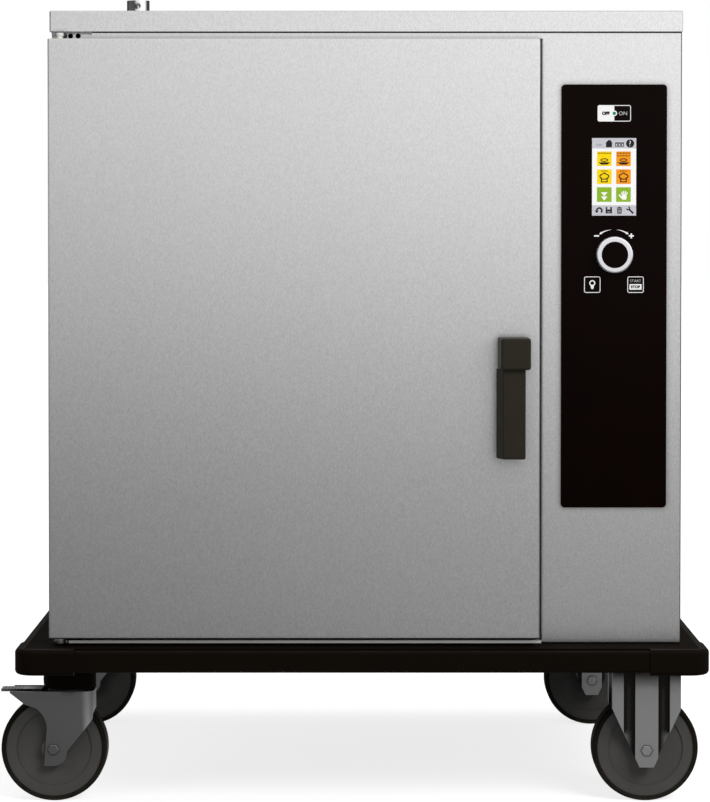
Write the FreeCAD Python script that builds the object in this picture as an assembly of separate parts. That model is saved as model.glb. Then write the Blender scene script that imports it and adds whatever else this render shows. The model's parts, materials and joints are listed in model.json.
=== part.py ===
import FreeCAD, Part
import math
import os

# Food regeneration trolley: a mobile oven that reheats chilled meals, on castors that roll sideways.
# Millimetres. X runs to the right of someone facing the door, Y from the front to the back, Z up from the floor.
# While it is modelled, X = 0 and Y = 0 are the middle of the bumper. The export moves the origin to the middle of
# everything that the trolley reaches.

V = FreeCAD.Vector
X_AXIS = V(1, 0, 0)
Y_AXIS = V(0, 1, 0)
Z_AXIS = V(0, 0, 1)

# Sheet metal, play and small details
SHEET = 1.2
FRAME_SHEET = 1.5
BEND = 2.0
RUNNING_FIT = 0.05
PLAY = 0.3
HOLE_PLAY = 0.2
FLANGE = 20.0

# Door and the gaps round it
DOOR_WIDTH = 576.5
DOOR_HEIGHT = 704.8
DOOR_THICKNESS = 36.0
DOOR_PROUD = 24.0
DOOR_GAP = 2.6
DOOR_TOP_GAP = 9.5
DOOR_BOTTOM_GAP = 8.7
GASKET_THICKNESS = 6.0
GASKET_WIDTH = 12.0
GASKET_CLEAR = 4.0

# Hinges
HINGE_INSET = 12.0
HINGE_SETBACK = 13.0
HINGE_PIN_RADIUS = 5.0
HINGE_BUSH_WALL = 3.0
HINGE_BUSH_LENGTH = 20.0
HINGE_COLLAR_WALL = 1.2
HINGE_TAB_WIDTH = 16.0
HINGE_TAB = 4.0
HINGE_PLATE = 2.0
HINGE_PLATE_WIDTH = 46.0
HINGE_PLATE_HEIGHT = 26.0

# Cabinet and lid
CABINET_DEPTH = 680.0
LID_LIP = 24.5
LID_GAP = 1.9
BAND_GAP = 1.2
SILL_GAP = 4.6
FRAME_LAP = 23.5
FASCIA_BEND = 2.5
OVERHANG_LEFT = 38.9
OVERHANG_RIGHT = 28.9
OVERHANG_ENDS = 55.0

# Oven chamber
MOUTH_MARGIN_LEFT = 50.0
MOUTH_MARGIN_RIGHT = 58.5
MOUTH_MARGIN_TOP = 40.5
MOUTH_MARGIN_BOTTOM = 46.3
INSULATION_RIGHT = 39.8
INSULATION_BACK = 40.8
AIR_GAP = 4.0

# Runner racks for containers 325 mm wide
CONTAINER_WIDTH = 325.0
CONTAINER_PLAY = 2.5
RACK_LEVELS = 8
RACK_BOTTOM_GAP = 45.0
RACK_TOP_GAP = 69.0
RACK_FRONT_GAP = 22.0
RACK_BACK_GAP = 36.5
LEDGE_WIDTH = 17.0
LEDGE_THICKNESS = 2.0
POST_SIZE = 12.0
POST_INSET = 20.0
POST_OVERHANG = 20.0
PEG_RADIUS = 4.0

# Fan, heater and lamp
FAN_SPACE = 55.0
BAFFLE_AIR = 30.0
BAFFLE_POST_RADIUS = 6.0
BAFFLE_POST_INSET = 25.0
INTAKE_RADIUS = 95.0
INTAKE_SLOT = 8.0
INTAKE_PITCH = 19.0
IMPELLER_RADIUS = 115.0
IMPELLER_WIDTH = 38.0
IMPELLER_SHEET = 2.0
IMPELLER_EYE = 82.0
IMPELLER_BLADES = 16
IMPELLER_HUB_RADIUS = 18.0
FAN_CLEAR = 8.0
SHAFT_RADIUS = 6.0
SHAFT_HOLE = 12.0
MOTOR_RADIUS = 55.0
MOTOR_LENGTH = 100.0
MOTOR_FLANGE_RADIUS = 70.0
MOTOR_FLANGE = 4.0
MOTOR_BORE_DEPTH = 70.0
HEATER_RADIUS = 128.0
HEATER_TUBE = 4.2
HEATER_SLEEVE = 5.2
HEATER_GAP_DEGREES = 20.0
HEATER_PLATE = 3.0
HEATER_PLATE_MARGIN = 10.0
HEATER_TAIL = 15.0
LAMP_RADIUS = 30.0
LAMP_DEPTH = 29.0
LAMP_FLANGE = 3.0
LAMP_FLANGE_WIDTH = 6.0
LAMP_LENS_RADIUS = 26.0
LAMP_LENS_HEIGHT = 6.0
LAMP_DROP = 110.0

# Steam vent on the lid and cable gland on the back
VENT_INSET = 90.6
VENT_SETBACK = 200.0
VENT_RADIUS = 14.0
VENT_WALL = 1.5
VENT_RISE = 25.7
VENT_PORT_RADIUS = 4.0
VENT_PORT_DROP = 7.0
GLAND_INSET = 75.0
GLAND_HEIGHT = 60.0
GLAND_ACROSS = 24.0
GLAND_NUT = 8.0
GLAND_CAP_RADIUS = 11.0
GLAND_CAP = 14.0
GLAND_THREAD_RADIUS = 8.0
GLAND_THREAD = 10.0
GLAND_BORE = 6.5

# Control panel
PANEL_WIDTH = 124.4
PANEL_HEIGHT = 499.0
PANEL_THICKNESS = 2.7
PANEL_CORNER = 4.7
PANEL_MARGIN_LEFT = 23.6
PANEL_MARGIN_RIGHT = 17.6
PANEL_DROP = 86.8
DISPLAY_WIDTH = 52.3
DISPLAY_HEIGHT = 91.6
DISPLAY_DROP = 108.7
DISPLAY_PROUD = 0.2
POWER_KEY_WIDTH = 40.0
POWER_KEY_HEIGHT = 20.0
POWER_KEY_DROP = 34.0
SMALL_KEY_SIZE = 20.0
SMALL_KEY_DROP = 235.7
SMALL_KEY_SPREAD = 25.5
KEY_CORNER = 2.0
KEY_TRAVEL = 0.8
KEY_FLANGE = 1.0
KEY_FLANGE_WIDTH = 1.5
SWITCH_SIZE = 8.0
SWITCH_CLEAR = 0.2
KNOB_DROP = 200.5
KNOB_RADIUS = 21.6
KNOB_CAP_RADIUS = 15.6
KNOB_HEIGHT = 14.0
KNOB_CAP_RECESS = 1.2
KNOB_ROUND = 2.0
KNOB_STEM_RADIUS = 3.0
KNOB_STEM_HOLE = 5.0
ENCODER_SIZE = 24.0
ENCODER_HEIGHT = 8.0
BOARD_WIDTH = 104.0
BOARD_MARGIN = 16.0
BOARD_THICKNESS = 1.6
BOARD_STANDOFF = 11.6
BOARD_POST_RADIUS = 3.0
BOARD_POST_INSET = 6.0

# Power module in the service space
MODULE_DEPTH = 70.0
MODULE_WIDTH = 140.0
MODULE_HEIGHT = 200.0
MODULE_LIFT = 60.0
MODULE_BACK_GAP = 80.0
LOUVRE_COUNT = 7
LOUVRE_PITCH = 16.0
LOUVRE_HEIGHT = 6.0
LOUVRE_LENGTH = 110.0
LOUVRE_DROP = 120.0

# Handle and quarter-turn latch
HANDLE_INSET = 30.4
HANDLE_LIFT = 337.2
HUB_WIDTH = 34.5
HUB_HEIGHT = 36.8
HUB_DEPTH = 45.7
HUB_FLARE = 2.0
HUB_ROUND = 3.0
GRIP_LENGTH = 104.2
GRIP_ROOT = 0.5
GRIP_REACH_LEFT = 14.4
GRIP_REACH_RIGHT = 11.6
GRIP_FLARE = 8.0
GRIP_DEPTH = 22.0
GRIP_SETBACK = 8.0
GRIP_ROUND = 2.0
SPINDLE_RADIUS = 6.0
SPINDLE_GRIP = 25.0
HANDLE_BUSH_WALL = 4.0
HANDLE_BUSH_FLANGE_WIDTH = 9.0
HANDLE_BUSH_FLANGE = 4.0
CAM_REACH = 32.0
CAM_HALF_WIDTH = 7.0
CAM_THICKNESS = 5.0
CAM_BEHIND_KEEPER = 2.5
KEEPER_PLATE = 3.0
KEEPER_ROOM = 3.0
KEEPER_DEPTH = 24.5
LATCH_SLOT_PLAY = 3.0

# Chassis and bumper
CHASSIS_HEIGHT = 21.0
CHASSIS_WALL = 2.5
CROSS_RAIL_WIDTH = 40.0
DECK = 4.0
BUMPER_THICKNESS = 12.0
BUMPER_RAIL_INSET = 2.0
BUMPER_RAIL_HEIGHT = 25.0
BUMPER_RAIL_DROP = 2.0
BUMPER_CAP_HEIGHT = 30.5
BUMPER_CAP_LENGTH = 70.4
BUMPER_CORNER = 24.0
BUMPER_EDGE = 5.0
BUMPER_RAIL_EDGE = 3.0

# Castors
WHEEL_DIAMETER = 127.0
WHEEL_WIDTH = 32.0
TYRE_THICKNESS = 6.2
TYRE_ROUND = 4.0
RIM_BAND = 12.1
RIM_STEP = 1.0
WEB_STEP = 3.0
BOSS_RADIUS = 14.0
AXLE_RADIUS = 6.0
CASTOR_SETBACK_Y = 103.0
FRONT_SWIVEL_SETBACK = 45.2
REAR_SWIVEL_SETBACK = 38.5
FRONT_FIXED_SETBACK = 55.2
REAR_FIXED_SETBACK = 77.2
CASTOR_TRAIL = 19.2
CASTOR_PLATE = 4.0
CASTOR_PLATE_X = 76.0
CASTOR_PLATE_Y = 105.0
RACE_RADIUS = 30.0
RACE_HEIGHT = 30.7
COLLAR_RADIUS = 26.0
COLLAR_HEIGHT = 2.0
KINGPIN_RADIUS = 8.0
CROWN_CLEARANCE = 3.0
FORK_SHEET = 3.0
FORK_SIDE_GAP = 8.0
FORK_NOSE = 29.0
FORK_CORNER = 15.0
FORK_TAIL = 53.0
FORK_HORN = 18.0
FORK_HORN_END = 1.5
FORK_SKIRT = 32.0
CROWN_TAIL = 27.0
LEG_TAIL = 10.8
LEG_NOSE = 16.2
LEG_TOE = 19.5
LEG_HEEL = 2.4
LEG_TOE_BOW = 4.0
LEG_TOE_BOW_DROP = 12.2
THROAT_LEAD = 8.1
THROAT_RISE = 19.5
THROAT_BOW = 0.9
EAR_ROOT_LEAD = 21.6
EAR_ROOT_HEIGHT = 19.5
EAR_HEIGHT = 15.6
TYRE_CLEARANCE = 2.5
BRACKET_HALF_WIDTH = 40.7
BRACKET_RIB_HALF = 13.75
BRACKET_FLANGE_INNER = 27.5
BRACKET_RELIEF = 8.0
BRACKET_SHOULDER = 49.3
BRACKET_POINT = 8.7
BRACKET_TOE = 20.0
BRACKET_TOE_HALF = 8.5

# Brake pedals
PEDAL_PIVOT_LEAD = 18.8
PEDAL_PIVOT_DROP = 4.5
PEDAL_STUB_RADIUS = 3.0
PEDAL_PLATE = 3.0
PEDAL_DROP = 2.0
PEDAL_REACH = 45.0
PEDAL_HALF = 11.0
PEDAL_LUG_LEAD = 4.0
PEDAL_LUG_TRAIL = 7.0
PEDAL_SHOE = 8.0
PEDAL_SHOE_LEAD = 10.0
PEDAL_SHOE_DROP = 4.5

# Fasteners
BOLT_RADIUS = 4.0
BOLT_ACROSS = 13.0
BOLT_HEAD = 5.0
BOLT_LENGTH = 14.0
BOLT_SPREAD_X = 26.0
BOLT_SPREAD_Y = 43.5
SCREW_RADIUS = 2.0
SCREW_HEAD_RADIUS = 4.0
SCREW_HEAD = 2.0
SCREW_LENGTH = 4.0
SCREW_ROWS = 5
SCREW_MARGIN = 50.0

# Widths, from left to right
fascia_width = PANEL_MARGIN_LEFT + PANEL_WIDTH + PANEL_MARGIN_RIGHT
cabinet_width = DOOR_WIDTH + DOOR_GAP + fascia_width + SHEET
base_right = (OVERHANG_LEFT + cabinet_width + OVERHANG_RIGHT) / 2
base_left = -base_right
cab_left = base_left + OVERHANG_LEFT
cab_right = cab_left + cabinet_width
body_left = cab_left + SHEET
body_right = cab_right - SHEET
door_left = cab_left
door_right = door_left + DOOR_WIDTH
fascia_left = door_right + DOOR_GAP
mouth_left = door_left + MOUTH_MARGIN_LEFT
mouth_right = door_right - MOUTH_MARGIN_RIGHT
partition_left = mouth_right + SHEET + INSULATION_RIGHT
partition_right = partition_left + SHEET
baffle_right = mouth_right - FAN_SPACE + SHEET
baffle_left = baffle_right - SHEET
chassis_right = base_right - BUMPER_THICKNESS
chassis_left = -chassis_right
kingpin_x = {"front": chassis_left + FRONT_SWIVEL_SETBACK, "rear": chassis_left + REAR_SWIVEL_SETBACK}
fixed_axle_x = {"front": chassis_right - FRONT_FIXED_SETBACK, "rear": chassis_right - REAR_FIXED_SETBACK}
pedal_pivot_lead = CASTOR_TRAIL + PEDAL_PIVOT_LEAD
pedal_tip_lead = pedal_pivot_lead + PEDAL_REACH
horn_lead = FORK_TAIL + FORK_HORN

# Depths, from front to back
base_back = CABINET_DEPTH / 2 + OVERHANG_ENDS
base_front = -base_back
cab_back = CABINET_DEPTH / 2
cab_front = -cab_back
body_front = cab_front + SHEET
body_back = cab_back - SHEET
fascia_back = body_front + SHEET
door_front = cab_front - DOOR_PROUD
door_back = door_front + DOOR_THICKNESS
frame_front = door_back + GASKET_THICKNESS
frame_back = frame_front + FRAME_SHEET
chamber_back = body_back - INSULATION_BACK
panel_front = body_front - PANEL_THICKNESS
chassis_back = base_back - BUMPER_THICKNESS
chassis_front = -chassis_back
castor_y = {"front": chassis_front + CASTOR_SETBACK_Y, "rear": chassis_back - CASTOR_SETBACK_Y}

# Heights, from the floor up
axle_z = WHEEL_DIAMETER / 2
crown_bottom = WHEEL_DIAMETER + CROWN_CLEARANCE
crown_top = crown_bottom + FORK_SHEET
collar_top = crown_top + COLLAR_HEIGHT
race_bottom = collar_top + PLAY
plate_bottom = race_bottom + RACE_HEIGHT
chassis_bottom = plate_bottom + CASTOR_PLATE
deck_bottom = chassis_bottom + CHASSIS_HEIGHT
deck_top = deck_bottom + DECK
door_bottom = deck_top + DOOR_BOTTOM_GAP
door_top = door_bottom + DOOR_HEIGHT
lip_bottom = door_top + DOOR_TOP_GAP
lid_top = lip_bottom + LID_LIP
lid_under = lid_top - SHEET
mouth_bottom = door_bottom + MOUTH_MARGIN_BOTTOM
mouth_top = door_top - MOUTH_MARGIN_TOP

# Places that several pieces share
hinge_x = door_left + HINGE_INSET
hinge_y = door_front + HINGE_SETBACK
upper_tab_bottom = door_top + (DOOR_TOP_GAP - HINGE_TAB) / 2
lower_tab_top = door_bottom - (DOOR_BOTTOM_GAP - HINGE_TAB) / 2
hinge_bush_radius = HINGE_PIN_RADIUS + RUNNING_FIT + HINGE_BUSH_WALL
hinge_collar_radius = HINGE_PIN_RADIUS + RUNNING_FIT + HINGE_COLLAR_WALL
spindle_x = door_right - HANDLE_INSET
spindle_z = door_bottom + HANDLE_LIFT
handle_bush_radius = SPINDLE_RADIUS + RUNNING_FIT + HANDLE_BUSH_WALL
hub_back = door_front - HANDLE_BUSH_FLANGE - PLAY
hub_front = hub_back - HUB_DEPTH
cam_front = frame_back + KEEPER_PLATE + CAM_BEHIND_KEEPER
cam_back = cam_front + CAM_THICKNESS
fan_z = (mouth_bottom + mouth_top) / 2
fan_y = (frame_back + chamber_back) / 2
impeller_left = baffle_right + FAN_CLEAR
impeller_right = impeller_left + IMPELLER_WIDTH
motor_left = partition_right + MOTOR_FLANGE
shaft_end = partition_right + MOTOR_BORE_DEPTH - PLAY
rack_middle = (mouth_left + baffle_left) / 2
rack_front = frame_back + RACK_FRONT_GAP
rack_back = chamber_back - RACK_BACK_GAP
rack_first = mouth_bottom + RACK_BOTTOM_GAP
rack_last = mouth_top - RACK_TOP_GAP
rack_pitch = (rack_last - rack_first) / (RACK_LEVELS - 1)
vent_x = cab_left + VENT_INSET
vent_y = cab_front + VENT_SETBACK
vent_top = lid_top + VENT_RISE
gland_x = body_right - GLAND_INSET
gland_z = deck_top + GLAND_HEIGHT
lamp_z = mouth_top - LAMP_DROP
panel_left = fascia_left + PANEL_MARGIN_LEFT
panel_middle = panel_left + PANEL_WIDTH / 2
panel_top = lid_top - PANEL_DROP
knob_z = panel_top - KNOB_DROP
board_front = fascia_back + BOARD_STANDOFF
leg_inner = WHEEL_WIDTH / 2 + FORK_SIDE_GAP
leg_outer = leg_inner + FORK_SHEET
pedal_pivot_z = crown_top - PEDAL_PIVOT_DROP
deepest_setback = max(FRONT_FIXED_SETBACK, REAR_FIXED_SETBACK, FRONT_SWIVEL_SETBACK, REAR_SWIVEL_SETBACK)
side_rail_width = deepest_setback + CASTOR_PLATE_X / 2 + 1

nodes = {}


def box(x0, x1, y0, y1, z0, z1):
    """Box between two corners."""
    return Part.makeBox(x1 - x0, y1 - y0, z1 - z0, V(x0, y0, z0))


def rod(radius, start, axis, length):
    """Round bar from a point along an axis."""
    return Part.makeCylinder(radius, length, start, axis)


def tube(outer, inner, start, axis, length):
    """Round tube from a point along an axis."""
    return rod(outer, start, axis, length).cut(rod(inner, start, axis, length))


def hexagon(across, start, axis, length):
    """Hexagonal bar, measured across its flats, from a point along an axis."""
    side = V(axis.y, axis.z, axis.x)
    up = axis.cross(side)
    reach = across / math.sqrt(3)
    corners = []
    for index in range(7):
        angle = math.radians(60 * index)
        corners.append(start + side * (reach * math.cos(angle)) + up * (reach * math.sin(angle)))
    return Part.Face(Part.makePolygon(corners)).extrude(axis * length)


def side_plate(edges, y0, y1):
    """Plate with an outline in the XZ plane, from one depth to another."""
    face = Part.Face(Part.Wire(edges))
    plate = face.extrude(V(0, y1 - y0, 0))
    plate.translate(V(0, y0, 0))
    return plate


def lines(points):
    """Straight edges through points given as (x, z)."""
    corners = [V(x, 0, z) for x, z in points]
    return [Part.makeLine(a, b) for a, b in zip(corners, corners[1:])]


def bow(start, middle, end):
    """Arc through three points given as (x, z)."""
    return Part.Arc(*[V(x, 0, z) for x, z in (start, middle, end)]).toShape()


def joined(shapes):
    """One solid from pieces that meet."""
    return shapes[0].multiFuse(shapes[1:]).removeSplitter()


def edges_off(shape, side, level):
    """Edges that do not lie in the plane side = level, such as the rim of an open box."""
    chosen = []
    for edge in shape.Edges:
        if any(abs(getattr(vertex.Point, side) - level) > 1e-6 for vertex in edge.Vertexes):
            chosen.append(edge)
    return chosen


def edges_along(shape, axis):
    """Straight edges parallel to an axis."""
    chosen = []
    for edge in shape.Edges:
        run = edge.Vertexes[-1].Point - edge.Vertexes[0].Point
        if run.Length > 0 and abs(run.dot(axis)) > run.Length - 1e-6:
            chosen.append(edge)
    return chosen


def bumper_ring(inset, z0, z1, edge):
    """Ring round the chassis with rounded corners and rounded outer edges."""
    block = box(base_left + inset, base_right - inset, base_front + inset, base_back - inset, z0, z1)
    block = block.makeFillet(BUMPER_CORNER - inset, edges_along(block, Z_AXIS))
    rims = [e for e in block.Edges if abs(e.BoundBox.ZMax - e.BoundBox.ZMin) < 1e-6]
    block = block.makeFillet(edge, rims)
    return block.cut(box(chassis_left, chassis_right, chassis_front, chassis_back, z0, z1))


def castor_bolt_places(x, y):
    """The four bolt places round the middle of a castor's plate."""
    return [(x + i * BOLT_SPREAD_X, y + j * BOLT_SPREAD_Y) for i in (-1, 1) for j in (-1, 1)]


def castor_places():
    """The middles of the four castor plates."""
    return [(places[end], castor_y[end]) for places in (kingpin_x, fixed_axle_x) for end in castor_y]


def bolted(shape):
    """A plate or rail with its castor bolt holes."""
    for x, y in castor_places():
        for bolt_x, bolt_y in castor_bolt_places(x, y):
            hole = rod(BOLT_RADIUS + HOLE_PLAY, V(bolt_x, bolt_y, plate_bottom), Z_AXIS, BOLT_LENGTH)
            shape = shape.cut(hole)
    return shape


def rail(x0, x1, y0, y1, along_x):
    """Hollow rectangular chassis rail, open at its two ends."""
    outer = box(x0, x1, y0, y1, chassis_bottom, deck_bottom)
    wall_x = 0 if along_x else CHASSIS_WALL
    wall_y = CHASSIS_WALL if along_x else 0
    z0 = chassis_bottom + CHASSIS_WALL
    z1 = deck_bottom - CHASSIS_WALL
    return outer.cut(box(x0 + wall_x, x1 - wall_x, y0 + wall_y, y1 - wall_y, z0, z1))


def chassis():
    """Rails, deck and bumper: the rolling base."""
    inner_left = chassis_left + side_rail_width
    inner_right = chassis_right - side_rail_width
    rails = [
        bolted(rail(chassis_left, inner_left, chassis_front, chassis_back, False)),
        bolted(rail(inner_right, chassis_right, chassis_front, chassis_back, False)),
        rail(inner_left, inner_right, chassis_front, chassis_front + CROSS_RAIL_WIDTH, True),
        rail(inner_left, inner_right, -CROSS_RAIL_WIDTH / 2, CROSS_RAIL_WIDTH / 2, True),
        rail(inner_left, inner_right, chassis_back - CROSS_RAIL_WIDTH, chassis_back, True),
    ]
    nodes["chassis_rails"] = rails
    nodes["chassis_deck"] = [box(chassis_left, chassis_right, chassis_front, chassis_back, deck_bottom, deck_top)]
    cap_top = deck_top
    cap_bottom = cap_top - BUMPER_CAP_HEIGHT
    rail_bottom = chassis_bottom - BUMPER_RAIL_DROP
    rail_top = rail_bottom + BUMPER_RAIL_HEIGHT
    caps = bumper_ring(0, cap_bottom, cap_top, BUMPER_EDGE)
    rails_ring = bumper_ring(BUMPER_RAIL_INSET, rail_bottom, rail_top, BUMPER_RAIL_EDGE)
    corner_boxes = []
    for x in (base_left, base_right - BUMPER_CAP_LENGTH):
        for y in (base_front, base_back - BUMPER_CAP_LENGTH):
            corner_boxes.append(box(x, x + BUMPER_CAP_LENGTH, y, y + BUMPER_CAP_LENGTH, cap_bottom, cap_top))
    corners = Part.makeCompound(corner_boxes)
    nodes["bumper_corners"] = caps.common(corners).Solids
    nodes["bumper_rails"] = rails_ring.cut(corners).Solids


def panel_screw_places():
    """Screws along the two upright edges of the back panel."""
    low = deck_top + SCREW_MARGIN
    step = (lip_bottom - SCREW_MARGIN - low) / (SCREW_ROWS - 1)
    columns = (body_left + FLANGE / 2, body_right - FLANGE / 2)
    return [(x, low + step * row) for x in columns for row in range(SCREW_ROWS)]


def screwed(shape):
    """A panel or flange with its screw holes."""
    for x, z in panel_screw_places():
        start = V(x, body_back - SCREW_LENGTH, z)
        shape = shape.cut(rod(SCREW_RADIUS + HOLE_PLAY, start, Y_AXIS, SCREW_LENGTH))
    return shape


def side_panel(outside, inward, y0):
    """Side sheet with a flange behind, which the back panel is screwed to."""
    x0, x1 = sorted((outside, outside + inward * SHEET))
    wall = box(x0, x1, y0, body_back - SHEET, deck_top, lid_under)
    f0, f1 = sorted((outside, outside + inward * FLANGE))
    flange = box(f0, f1, body_back - 2 * SHEET, body_back - SHEET, deck_top, lid_under)
    return screwed(joined([wall, flange]))


def back_panel():
    """Rear sheet with louvres for the service space and the cable gland's hole."""
    panel = box(body_left, body_right, body_back - SHEET, body_back, deck_top, lid_under)
    panel = screwed(panel)
    middle = (partition_right + body_right) / 2
    for row in range(LOUVRE_COUNT):
        z0 = lip_bottom - LOUVRE_DROP - row * LOUVRE_PITCH
        half = LOUVRE_LENGTH / 2
        panel = panel.cut(box(middle - half, middle + half, body_back - SHEET, body_back, z0, z0 + LOUVRE_HEIGHT))
    hole = rod(GLAND_THREAD_RADIUS + HOLE_PLAY, V(gland_x, body_back - SHEET, gland_z), Y_AXIS, SHEET)
    return panel.cut(hole)


def top_lid():
    """Flat lid with a lip turned down all round and a hole for the vent."""
    outer = box(cab_left, cab_right, cab_front, cab_back, lip_bottom, lid_top)
    outer = outer.makeFillet(BEND, edges_off(outer, "z", lip_bottom))
    inner = box(body_left, body_right, body_front, body_back, lip_bottom, lid_under)
    hole = rod(VENT_RADIUS + HOLE_PLAY, V(vent_x, vent_y, lip_bottom), Z_AXIS, LID_LIP)
    return outer.cut(inner).cut(hole)


def latch_slot(y0, y1):
    """Opening that the latch cam passes through."""
    half = CAM_HALF_WIDTH + LATCH_SLOT_PLAY
    top = spindle_z + CAM_REACH + LATCH_SLOT_PLAY
    return box(spindle_x - half, spindle_x + half, y0, y1, spindle_z - half, top)


def keeper_outer():
    """The outside of the pocket behind the frame that the latch cam turns in."""
    reach = math.hypot(CAM_REACH, CAM_HALF_WIDTH) + KEEPER_ROOM + KEEPER_PLATE
    left = spindle_x - CAM_HALF_WIDTH - LATCH_SLOT_PLAY - KEEPER_ROOM - KEEPER_PLATE
    low = spindle_z - CAM_HALF_WIDTH - LATCH_SLOT_PLAY - KEEPER_ROOM - KEEPER_PLATE
    return box(left, spindle_x + reach, frame_back, frame_back + KEEPER_DEPTH, low, spindle_z + reach)


def latch_keeper():
    """Closed pocket with a slot in its front plate, which the cam locks behind."""
    outer = keeper_outer()
    room = outer.BoundBox
    wall = KEEPER_PLATE
    inner = box(
        room.XMin + wall, room.XMax - wall, room.YMin + wall, room.YMax - wall, room.ZMin + wall, room.ZMax - wall
    )
    return outer.cut(inner).cut(latch_slot(frame_back, frame_back + wall))


def front_frame():
    """Sheet round the mouth of the chamber, behind the door."""
    plate = box(body_left + SHEET, door_right + FRAME_LAP, frame_front, frame_back, deck_top, lid_under)
    plate = plate.cut(box(mouth_left, mouth_right, frame_front, frame_back, mouth_bottom, mouth_top))
    return plate.cut(latch_slot(frame_front, frame_back))


def heater_loops():
    """Each heating loop: its X, the angle it starts at and the (y, z) of its two ends."""
    ring_gap = (mouth_right - HEATER_PLATE - baffle_right - 4 * HEATER_SLEEVE) / 3
    near = baffle_right + ring_gap + HEATER_SLEEVE
    far = mouth_right - HEATER_PLATE - ring_gap - HEATER_SLEEVE
    loops = []
    for x, gap in ((near, HEATER_GAP_DEGREES), (far, 2 * HEATER_GAP_DEGREES)):
        first = math.pi + math.radians(gap / 2)
        last = math.pi - math.radians(gap / 2)
        ends = []
        for angle in (first, last):
            ends.append((fan_y + HEATER_RADIUS * math.cos(angle), fan_z + HEATER_RADIUS * math.sin(angle)))
        loops.append((x, first, gap, ends))
    return loops


def heating_element():
    """Two open heating loops round the fan, on one plate on the chamber wall."""
    pieces = []
    reach = HEATER_SLEEVE + HEATER_PLATE_MARGIN
    end_ys = []
    end_zs = []
    for x, first, gap, ends in heater_loops():
        start = V(x, ends[0][0], ends[0][1])
        tangent = V(0, -math.sin(first), math.cos(first))
        section = Part.Face(Part.Wire(Part.makeCircle(HEATER_TUBE, start, tangent)))
        pieces.append(section.revolve(V(x, fan_y, fan_z), X_AXIS, 360 - gap))
        left = x - HEATER_SLEEVE
        for y, z in ends:
            pieces.append(rod(HEATER_SLEEVE, V(left, y, z), X_AXIS, partition_right + HEATER_TAIL - left))
            end_ys.append(y)
            end_zs.append(z)
    plate = box(
        mouth_right - HEATER_PLATE, mouth_right, min(end_ys) - reach, max(end_ys) + reach,
        min(end_zs) - reach, max(end_zs) + reach,
    )
    return joined(pieces + [plate])


def heater_leg_holes(play):
    """Round ways for the heating element's legs through the chamber wall and the partition."""
    holes = []
    for _, _, _, ends in heater_loops():
        for y, z in ends:
            start = V(mouth_right, y, z)
            holes.append(rod(HEATER_SLEEVE + play, start, X_AXIS, partition_right - mouth_right))
    return holes


def partition_panel():
    """Upright sheet between the oven and the service space."""
    panel = box(partition_left, partition_right, frame_back, body_back - SHEET, deck_top, lid_under)
    panel = panel.cut(keeper_outer())
    panel = panel.cut(rod(SHAFT_HOLE, V(partition_left, fan_y, fan_z), X_AXIS, SHEET))
    for hole in heater_leg_holes(HOLE_PLAY):
        panel = panel.cut(hole)
    return panel


def liner_outer():
    """The outside of the chamber liner."""
    return box(
        mouth_left - SHEET, mouth_right + SHEET, frame_back, chamber_back + SHEET,
        mouth_bottom - SHEET, mouth_top + SHEET,
    )


def chamber_liner():
    """Thin steel box that is the oven chamber, open at the front."""
    liner = liner_outer().cut(box(mouth_left, mouth_right, frame_back, chamber_back, mouth_bottom, mouth_top))
    liner = liner.cut(rod(SHAFT_HOLE, V(mouth_right, fan_y, fan_z), X_AXIS, SHEET))
    for hole in heater_leg_holes(HOLE_PLAY):
        liner = liner.cut(hole)
    liner = liner.cut(rod(VENT_RADIUS - 2 * VENT_WALL, V(vent_x, vent_y, mouth_top), Z_AXIS, SHEET))
    lamp_hole = rod(LAMP_RADIUS + HOLE_PLAY, V(rack_middle, chamber_back, lamp_z), Y_AXIS, SHEET)
    return liner.cut(lamp_hole)


def insulation():
    """Mineral wool between the chamber and the outer panels."""
    back = body_back - SHEET - AIR_GAP
    wool = box(body_left + SHEET, partition_left, frame_back, back, deck_top, lid_under)
    wool = wool.cut(liner_outer()).cut(keeper_outer())
    wool = wool.cut(rod(SHAFT_HOLE, V(mouth_right, fan_y, fan_z), X_AXIS, partition_left - mouth_right))
    for hole in heater_leg_holes(HOLE_PLAY):
        wool = wool.cut(hole)
    wool = wool.cut(rod(VENT_RADIUS + HOLE_PLAY, V(vent_x, vent_y, mouth_top), Z_AXIS, lid_under - mouth_top))
    lamp_room = LAMP_DEPTH + HOLE_PLAY
    return wool.cut(rod(LAMP_RADIUS + HOLE_PLAY, V(rack_middle, chamber_back, lamp_z), Y_AXIS, lamp_room))


def fan_baffle():
    """Plate in front of the fan with a slotted intake, on four posts from the chamber wall."""
    y0 = frame_back + BAFFLE_AIR
    y1 = chamber_back - BAFFLE_AIR
    z0 = mouth_bottom + BAFFLE_AIR
    z1 = mouth_top - BAFFLE_AIR
    plate = box(baffle_left, baffle_right, y0, y1, z0, z1)
    rows = math.ceil(INTAKE_RADIUS / INTAKE_PITCH) - 1
    for row in range(-rows, rows + 1):
        offset = row * INTAKE_PITCH
        half = math.sqrt(INTAKE_RADIUS ** 2 - offset ** 2)
        low = fan_z + offset - INTAKE_SLOT / 2
        slot = box(baffle_left, baffle_right, fan_y - half, fan_y + half, low, low + INTAKE_SLOT)
        plate = plate.cut(slot)
    pieces = [plate]
    for y in (y0 + BAFFLE_POST_INSET, y1 - BAFFLE_POST_INSET):
        for z in (z0 + BAFFLE_POST_INSET, z1 - BAFFLE_POST_INSET):
            pieces.append(rod(BAFFLE_POST_RADIUS, V(baffle_right, y, z), X_AXIS, mouth_right - baffle_right))
    return joined(pieces)


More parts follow.
